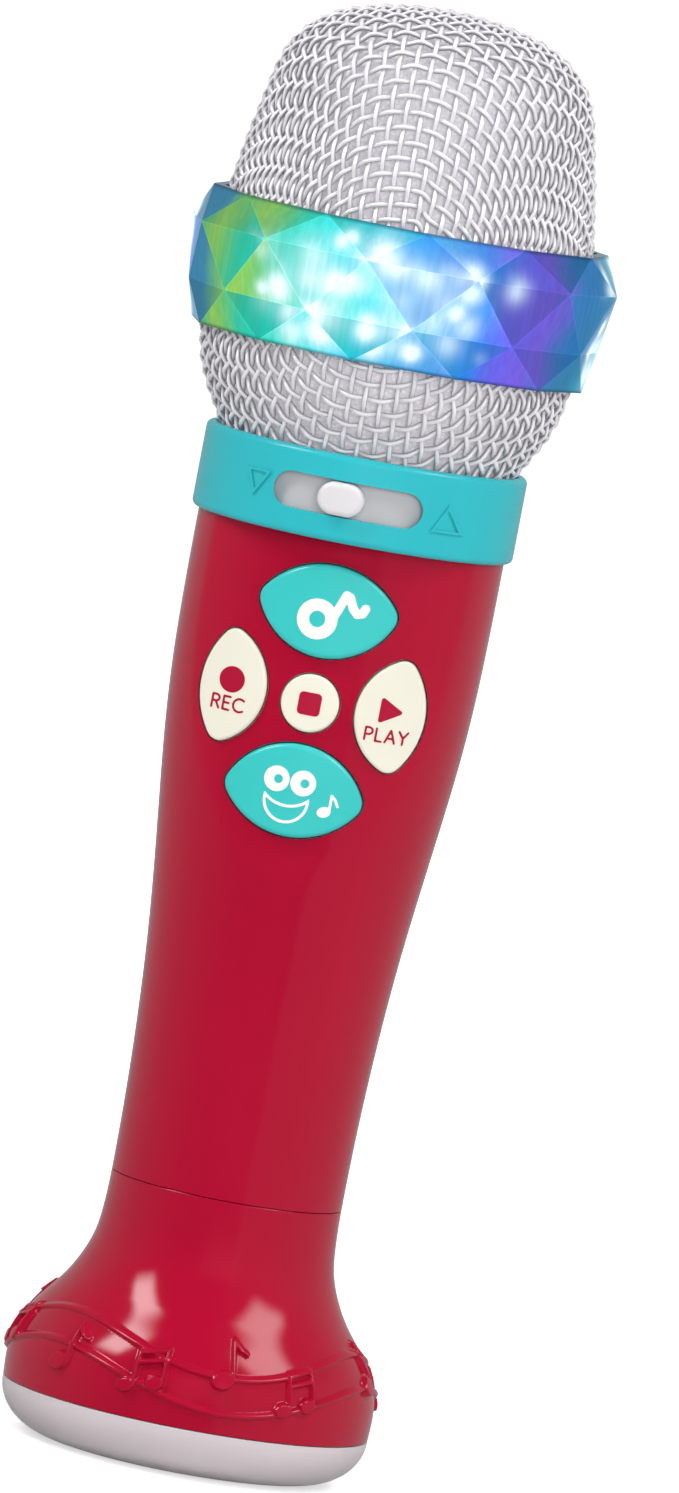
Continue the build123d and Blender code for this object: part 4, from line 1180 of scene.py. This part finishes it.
def oval(s, z, s0, z0, wide, tall, turn):
    """Rough distance outside a turned oval."""
    c, n = math.cos(math.radians(turn)), math.sin(math.radians(turn))
    u = ((s - s0) * c + (z - z0) * n) / wide
    v = (-(s - s0) * n + (z - z0) * c) / tall
    return (np.hypot(u, v) - 1) * min(wide, tall)


def note_distance(s, z, beamed):
    """Distance outside one note, or outside two that are joined by a double beam."""
    if not beamed:
        parts = [
            oval(s, z, -1.7, -2.6, 2.1, 1.65, 20),
            capsule(s, z, 0.0, -2.4, 0.0, 4.2, 0.38),
            capsule(s, z, 0.1, 4.1, 1.5, 2.9, 0.5),
            capsule(s, z, 1.5, 2.9, 2.6, 2.3, 0.35),
        ]
        return np.minimum.reduce(parts)
    slope = math.tan(math.radians(BEAM_ANGLE))
    parts = []
    for x in (-BEAM_REACH, BEAM_REACH):
        parts.append(oval(s, z, x - 1.25, -3.0 + slope * x, 1.65, 1.3, 20))
        parts.append(capsule(s, z, x, -2.8 + slope * x, x, 3.2 + slope * x, 0.38))
    fall = slope * BEAM_REACH
    for rise in (3.1, 1.4):
        parts.append(capsule(s, z, -BEAM_REACH, rise - fall, BEAM_REACH, rise + fall, 0.45))
    return np.minimum.reduce(parts)


def relief_height(angle, z):
    """How far the moulded notes and staff lines stand out at each place."""
    height = np.zeros(np.broadcast(angle, z).shape)
    for middle, swing in STAFF_LINES:
        line = middle - swing * np.cos(3 * (angle - math.radians(STAFF_PHASE)))
        steep = 3 * swing * np.sin(3 * (angle - math.radians(STAFF_PHASE))) / RELIEF_SCALE
        away = np.abs(z - line) / np.sqrt(1 + steep**2)
        height = np.maximum(height, LINE_RELIEF * np.clip(1 - (away / LINE_HALF) ** 2, 0, 1))
    for i, (degrees, middle) in enumerate(NOTES):
        gap = (angle - math.radians(degrees) + math.pi) % (2 * math.pi) - math.pi
        distance = note_distance(gap * RELIEF_SCALE, z - middle, i % 2 == 1)
        soft = np.clip(0.5 - distance / NOTE_EDGE, 0, 1)
        height = np.maximum(height, RELIEF * soft * soft * (3 - 2 * soft))
    return height


def flare_point(angle, z):
    """A place on the flare with its moulded notes."""
    radius = np.interp(z, FLARE_LINE[:, 1], FLARE_LINE[:, 0])
    fade = np.clip((z - FOOT_TOP) / 1.5, 0, 1)
    return on_axis(radius + relief_height(angle, z) * fade, angle, z)


def build_base(crimson):
    """The flare with its moulded notes and its two rounded ends."""
    top = SEAM_Z - 2 * SEAM_GAP
    lip = 0.25
    z = np.concatenate([np.arange(FOOT_TOP + lip, 29.0, 0.2), np.linspace(29.0, top - lip, 26)])
    angle = np.linspace(0, 2 * math.pi, 880, endpoint=False)
    angle_grid, z_grid = np.meshgrid(angle, z)
    piece = Piece()
    piece.grid(flare_point(angle_grid, z_grid), wrap=True, away=(0, 0, 25))
    low = round_corner((FOOT_RADIUS - lip, FOOT_TOP + lip), lip, 0, -90, 6)
    piece.lathe(np.vstack([low, [[FOOT_RADIUS - 3, FOOT_TOP]]]), 240, away=(FOOT_RADIUS - 3, 14))
    high = round_corner((21.0 - lip, top - lip), lip, 0, 90, 6)
    piece.lathe(np.vstack([high, [[18.4, top]]]), 240, away=(18.0, 40))
    make("flare_skin", piece, crimson, "case", ["base_flare"])


# ---------------------------------------------------------------- printed and raised marks
def disc(x, z, x0, z0, radius):
    """Distance outside a disc."""
    return np.hypot(x - x0, z - z0) - radius


def strokes(x, z, lines, width):
    """Distance outside a set of round-ended pen lines."""
    parts = [capsule(x, z, *a, *b, width / 2) for line in lines for a, b in zip(line, line[1:])]
    return np.minimum.reduce(parts)


def bend(centre, radius, first, last, count=14):
    """Points of an arc; 0 degrees is to the right and angles run anticlockwise."""
    t = np.radians(np.linspace(first, last, count))
    return [(centre[0] + radius * math.cos(k), centre[1] + radius * math.sin(k)) for k in t]


def polygon_distance(x, z, corners, rounding):
    """Distance outside a convex shape given anticlockwise, with rounded corners."""
    sides = []
    for (x0, z0), (x1, z1) in zip(corners, corners[1:] + corners[:1]):
        length = math.hypot(x1 - x0, z1 - z0)
        sides.append(((x - x0) * (z1 - z0) - (z - z0) * (x1 - x0)) / length + rounding)
    deep = np.maximum.reduce(sides)
    inset = []
    count = len(corners)
    for i in range(count):
        before, here, after = (np.array(corners[(i + k) % count]) for k in (-1, 0, 1))
        u, v = unit(before - here), unit(after - here)
        half = math.acos(float(u @ v)) / 2
        inset.append(tuple(here + unit(u + v) * rounding / math.sin(half)))
    near = strokes(x, z, [inset + inset[:1]], 0)
    return np.where(deep > 0, near, deep) - rounding


P_BOWL = [(0.33, 1), (0.51, 0.89), (0.56, 0.73), (0.51, 0.57), (0.33, 0.46)]
LETTERS = {
    "R": (0.62, [[(0, 0), (0, 1), (0.33, 1), (0.5, 0.9), (0.55, 0.75), (0.5, 0.6), (0.33, 0.5), (0, 0.5)]]),
    "E": (0.52, [[(0.5, 0), (0, 0), (0, 1), (0.5, 1)], [(0, 0.52), (0.42, 0.52)]]),
    "C": (0.72, [bend((0.5, 0.5), 0.5, 52, 308)]),
    "P": (0.58, [[(0, 0), (0, 1), *P_BOWL, (0, 0.46)]]),
    "L": (0.48, [[(0, 1), (0, 0), (0.46, 0)]]),
    "A": (0.74, [[(0, 0), (0.37, 1), (0.74, 0)], [(0.14, 0.34), (0.6, 0.34)]]),
    "Y": (0.68, [[(0, 1), (0.34, 0.5), (0.68, 1)], [(0.34, 0.5), (0.34, 0)]]),
}
LETTERS["R"][1].append([(0.28, 0.5), (0.58, 0)])


def word(text, x0, z0, tall):
    """Pen lines of a plain word centred on x0, standing on z0."""
    gap = 0.27
    wide = sum(LETTERS[c][0] + gap for c in text) - gap
    pen = -wide / 2
    lines = []
    for c in text:
        width, letter = LETTERS[c]
        lines += [[(x0 + tall * (pen + u), z0 + tall * v) for u, v in line] for line in letter]
        pen += width + gap
    return lines


def trace(distance, low, high, step):
    """Closed outlines of where distance(x, z) is below zero: solid ones anticlockwise, holes clockwise."""
    xs = np.arange(low[0], high[0], step)
    zs = np.arange(low[1], high[1], step)
    x, z = np.meshgrid(xs, zs, indexing="ij")
    d = distance(x, z)
    inner = d < 0
    mixed = (inner[:-1, :-1] != inner[1:, 1:]) | (inner[1:, :-1] != inner[:-1, 1:])
    mixed |= inner[:-1, :-1] != inner[1:, :-1]
    corners = [(0, 0), (1, 0), (1, 1), (0, 1)]
    following = {}
    place = {}
    for i, j in zip(*np.nonzero(mixed)):
        crossings = []
        for k in range(4):
            a = (i + corners[k][0], j + corners[k][1])
            b = (i + corners[(k + 1) % 4][0], j + corners[(k + 1) % 4][1])
            if inner[a] != inner[b]:
                key = (min(a, b), max(a, b))
                share = d[a] / (d[a] - d[b])
                place[key] = np.array(
                    [xs[a[0]] + share * (xs[b[0]] - xs[a[0]]), zs[a[1]] + share * (zs[b[1]] - zs[a[1]])]
                )
                crossings.append((bool(inner[a]), key))
        for k, (leaving, key) in enumerate(crossings):
            if leaving:
                following[key] = crossings[(k + 1) % len(crossings)][1]
    loops = []
    while following:
        start, here = following.popitem()
        loop = [place[start]]
        while here != start:
            loop.append(place[here])
            here = following.pop(here)
        loop = np.array(loop)
        apart = np.linalg.norm(loop - np.roll(loop, 1, 0), axis=1) > step * 0.25
        if apart.sum() > 5:
            loops.append(loop[apart])
    return loops


def loop_area(loop):
    """The loop's area, negative when it runs clockwise."""
    x, z = loop.T
    return 0.5 * (x * np.roll(z, -1) - np.roll(x, -1) * z).sum()


def mark(piece, distance, low, high, lift):
    """A thin raised print wherever distance(x, z) is below zero."""
    loops = trace(distance, low, high, TRACE_STEP)
    outlines = [loop for loop in loops if loop_area(loop) > 0]
    holes = [loop for loop in loops if loop_area(loop) < 0]
    for outline in outlines:
        within = [hole for hole in holes if inside_loop(hole[:1], outline)[0]]
        print_shape(piece, outline, lift, within)


def song_mark(x, z):
    """A big note with a round hole and a waving flag."""
    head = disc(x, z, -1.45, 155.2, 3.65)
    eye = disc(x, z, -1.45, 155.2, 1.45)
    flag = [(1.2, 155.6), (2.2, 158.2), (3.0, 160.3), (3.7, 160.0), (4.5, 158.2), (5.4, 157.3)]
    flag += [(6.3, 157.6), (6.7, 158.5)]
    return np.maximum(np.minimum(head, strokes(x, z, [flag], 1.6)), -eye)


def voice_mark(x, z):
    """A smiling face that sings one small note."""
    eyes = np.minimum(disc(x, z, -3.2, 125.9, 2.3), disc(x, z, 1.6, 125.9, 2.3))
    pupils = np.minimum(disc(x, z, -2.9, 125.9, 0.8), disc(x, z, 1.9, 125.9, 0.8))
    open_mouth = np.maximum(disc(x, z, -0.9, 122.4, 3.9), -disc(x, z, -0.9, 127.3, 5.9))
    note = strokes(x, z, [[(7.0, 121.6), (7.0, 124.6), (7.7, 124.0), (8.3, 122.9)]], 0.5)
    note = np.minimum(note, oval(x, z, 6.1, 121.5, 1.25, 0.95, 20))
    face = np.minimum(np.maximum(eyes, -pupils), np.abs(open_mouth) - 0.26)
    return np.minimum(face, note)


def record_mark(x, z):
    """A dot over its function word."""
    return np.minimum(disc(x, z, -14.6, 141.4, 2.35), strokes(x, z, word("REC", -14.7, 135.9, 2.35), 0.4))


def play_mark(x, z):
    """A pointer over its function word."""
    arrow = polygon_distance(x, z, [(12.4, 138.7), (16.7, 141.2), (12.4, 143.7)], 0.4)
    return np.minimum(arrow, strokes(x, z, word("PLAY", 14.3, 135.6, 2.25), 0.38))


def stop_mark(x, z):
    """A rounded square."""
    return polygon_distance(x, z, [(-2.05, 137.95), (2.05, 137.95), (2.05, 142.05), (-2.05, 142.05)], 0.8)


def build_marks(light, deep):
    """The print on every key; it rides on its key."""
    marks = {
        "song": (song_mark, light),
        "voice": (voice_mark, light),
        "record": (record_mark, deep),
        "play": (play_mark, deep),
        "stop": (stop_mark, deep),
    }
    for name, (distance, material) in marks.items():
        x, z, _, _, lift, *_ = KEYS[name]
        piece = Piece()
        mark(piece, distance, (x - 12, z - 9), (x + 12, z + 9), lift)
        make(f"{name}_print", piece, material, f"key_{name}", [])


# ---------------------------------------------------------------- room
FLOOR_REACH = 14.0  # metres
FLOOR_Z = -0.0001


def build_room(material):
    """A wide pale floor, kept out of reflections so that the gloss shows only the lights and the studio."""
    corners = [(u * FLOOR_REACH, v * FLOOR_REACH, FLOOR_Z) for u, v in ((-1, -1), (1, -1), (1, 1), (-1, 1))]
    mesh = bpy.data.meshes.new("floor")
    mesh.from_pydata(corners, [], [(0, 1, 2, 3)])
    mesh.materials.append(material)
    floor = bpy.data.objects.new("floor", mesh)
    floor.visible_glossy = False
    bpy.context.scene.collection.objects.link(floor)


FLOOR_SHOWN = 0.6  # brightness added to the paper beside the object, as seen
FOAM_PAINTED_GLOW = 0.19  # painted light: the foam glows a little, though it is no lamp
# how bright the studio stands at each angle from the front; a white card fills the right side
STUDIO_LEVELS = [(-180, 0.4), (-110, 0.45), (-75, 0.3), (-50, 0.12), (-25, 0.06), (21, 0.06)]
STUDIO_LEVELS += [(25, 0.27), (80, 0.42), (125, 0.45), (180, 0.4)]
STUDIO_TOP = 0.3  # share of that brightness left overhead
LIGHT_CENTRE = (0, 0, 0.13)


def area_light(name, place, aim, size, power, edge=0.35):
    """A soft box that fades over its outer part; edge is the share of its half size that fades."""
    light = bpy.data.lights.new(name, "AREA")
    light.shape = "RECTANGLE"
    light.size, light.size_y = size
    light.energy = power
    light.use_nodes = True
    tree = light.node_tree
    emission = next(node for node in tree.nodes if node.type == "EMISSION")
    geometry = tree.nodes.new("ShaderNodeNewGeometry")
    split = tree.nodes.new("ShaderNodeSeparateXYZ")
    tree.links.new(geometry.outputs["Parametric"], split.inputs["Vector"])
    fades = []
    for axis in ("X", "Y"):
        fade = tree.nodes.new("ShaderNodeMapRange")
        fade.interpolation_type = "SMOOTHSTEP"
        fade.inputs["From Min"].default_value = 0.5
        fade.inputs["From Max"].default_value = 0.5 - edge / 2
        away = maths(tree, "ABSOLUTE", maths(tree, "SUBTRACT", split.outputs[axis], 0.5))
        tree.links.new(away, fade.inputs["Value"])
        fades.append(fade.outputs["Result"])
    tree.links.new(maths(tree, "MULTIPLY", *fades), emission.inputs["Strength"])
    made = bpy.data.objects.new(name, light)
    made.location = place
    made.rotation_euler = (Vector(aim) - Vector(place)).to_track_quat("-Z", "Y").to_euler()
    bpy.context.scene.collection.objects.link(made)
    return made


def build_light():
    """Two soft boxes above the sides, a broad fill in front and behind, and a plain studio all round."""
    world = bpy.data.worlds.new("studio")
    world.use_nodes = True
    bpy.context.scene.world = world
    tree = world.node_tree
    background = tree.nodes["Background"]
    background.inputs["Color"].default_value = (1, 1, 1, 1)
    x, y, z = place_parts(tree, "Generated")
    greys = [(turn, (level,) * 3) for turn, level in STUDIO_LEVELS]
    levels = ramp_round(tree, share_round(tree, x, y), greys)
    overhead = remap(tree, z, 1.0, STUDIO_TOP, 0.35, 0.8)
    paths = tree.nodes.new("ShaderNodeLightPath")
    seen = maths(tree, "MAXIMUM", maths(tree, "MULTIPLY", levels, overhead), paths.outputs["Is Camera Ray"])
    tree.links.new(seen, background.inputs["Strength"])
    area_light("left_box", (-0.76, -0.42, 1.0), LIGHT_CENTRE, (0.5, 0.85), 17, 0.6)
    area_light("right_box", (0.80, -0.30, 1.1), LIGHT_CENTRE, (0.9, 0.8), 15.5, 0.6)
    fill = area_light("fill_box", (0.3, -1.5, 0.5), (0, 0, 0.2), (1.0, 1.0), 19.5, 0.3)
    fill.visible_glossy = False
    rear = area_light("rear_box", (0.3, 1.5, 0.6), (0, 0, 0.15), (1.0, 1.0), 17, 0.3)
    rear.visible_glossy = False


def build_camera():
    """A long lens, leaned over so that the object stands tilted in the picture."""
    turn = math.radians(3.8)
    rise = math.radians(4.9)
    lean = math.radians(10.8)
    distance = 3.2
    half_view = 0.13385  # half the height that the picture covers at the object
    right = Vector((math.cos(turn), math.sin(turn), 0))
    aim = Vector((0, 0, 0.1314)) + 0.0050 * right
    back = Vector((math.sin(turn) * math.cos(rise), -math.cos(turn) * math.cos(rise), math.sin(rise)))
    up = back.cross(right)
    tilted_up = math.cos(lean) * up - math.sin(lean) * right
    tilted_right = tilted_up.cross(back)
    camera = bpy.data.cameras.new("camera")
    camera.sensor_fit = "VERTICAL"
    camera.angle = 2 * math.atan(half_view / distance)
    camera.clip_end = 20
    made = bpy.data.objects.new("camera", camera)
    rotation = Matrix((tilted_right, tilted_up, back)).transposed()
    made.matrix_world = Matrix.Translation(aim + distance * back) @ rotation.to_4x4()
    bpy.context.scene.collection.objects.link(made)
    bpy.context.scene.camera = made


def main():
    """Builds the materials, the room and every visual piece."""
    crimson = plastic("crimson_gloss", CRIMSON, (0.09, 0.12), gloss=0.34)
    teal = plastic("teal_gloss", TEAL, (0.24, 0.27), shift=0.015)
    key_teal = plastic("teal_key_gloss", KEY_TEAL, (0.2, 0.23), shift=0.02, gloss=0.45)
    cream = plastic("cream_key_gloss", CREAM, (0.22, 0.26), shift=0.01)
    pale = plastic("pale_foot_satin", PALE, (0.38, 0.5), shift=0.015, relief=0.06, glow=0.15)
    knob = knob_material()
    dark = plastic("black_moulding", (0.012, 0.012, 0.014), (0.5, 0.65))
    white = plastic("white_moulding", (0.75, 0.75, 0.73), (0.35, 0.45))
    wire = mesh_material()
    foam = foam_material("grey_foam", (0.86, 0.83, 0.88))
    slots = {
        "crimson_shell": crimson,
        "teal_trim": teal,
        "teal_key": key_teal,
        "cream_key": cream,
        "pale_foot": pale,
        "knob": knob,
        "clear_band": white,
        "diffuser": plastic("frosted_diffuser", (0.85, 0.88, 0.9), (0.5, 0.6), glow=0.3),
        "mesh": wire,
        "liner": foam,
        "white_frame": white,
        "black_frame": dark,
        "silicone": plastic("grey_silicone", (0.35, 0.36, 0.37), (0.55, 0.7), glow=0.2),
        "board": plastic("green_board", (0.01, 0.12, 0.05), (0.35, 0.5), grain=3000, relief=0.2),
        "chip": plastic("black_epoxy", (0.01, 0.01, 0.01), (0.3, 0.5)),
        "lamp": plastic("lamp_lens", (0.85, 0.85, 0.8), (0.1, 0.2), coat=0.5),
        "steel": metal("plated_steel", (0.62, 0.6, 0.58)),
        "cell": metal("cell_jacket", (0.30, 0.32, 0.35), (0.3, 0.45)),
        "wire": plastic("wire_jacket", (0.35, 0.02, 0.02), (0.4, 0.5)),
        "paper_cone": plastic("paper_cone", (0.02, 0.02, 0.022), (0.7, 0.85), grain=2500, relief=0.5),
    }
    build_camera()
    build_light()
    build_room(floor_material())
    for part in frame["record"]["subparts"]:
        node = frame["nodes"][part["node"]]
        node.data.materials.clear()
        node.data.materials.append(slots[part["material_slot"]])
    build_handle(crimson, dark)
    build_bells(slots["silicone"])
    build_base(crimson)
    build_head(wire, foam)
    build_band(band_material())
    light_ink = plastic("white_ink", (0.88, 0.89, 0.84), (0.35, 0.45), shift=0.02)
    deep_ink = plastic("crimson_ink", (0.42, 0.004, 0.035), (0.3, 0.4))
    build_marks(light_ink, deep_ink)
    bpy.context.scene.view_settings.view_transform = "Standard"


main()
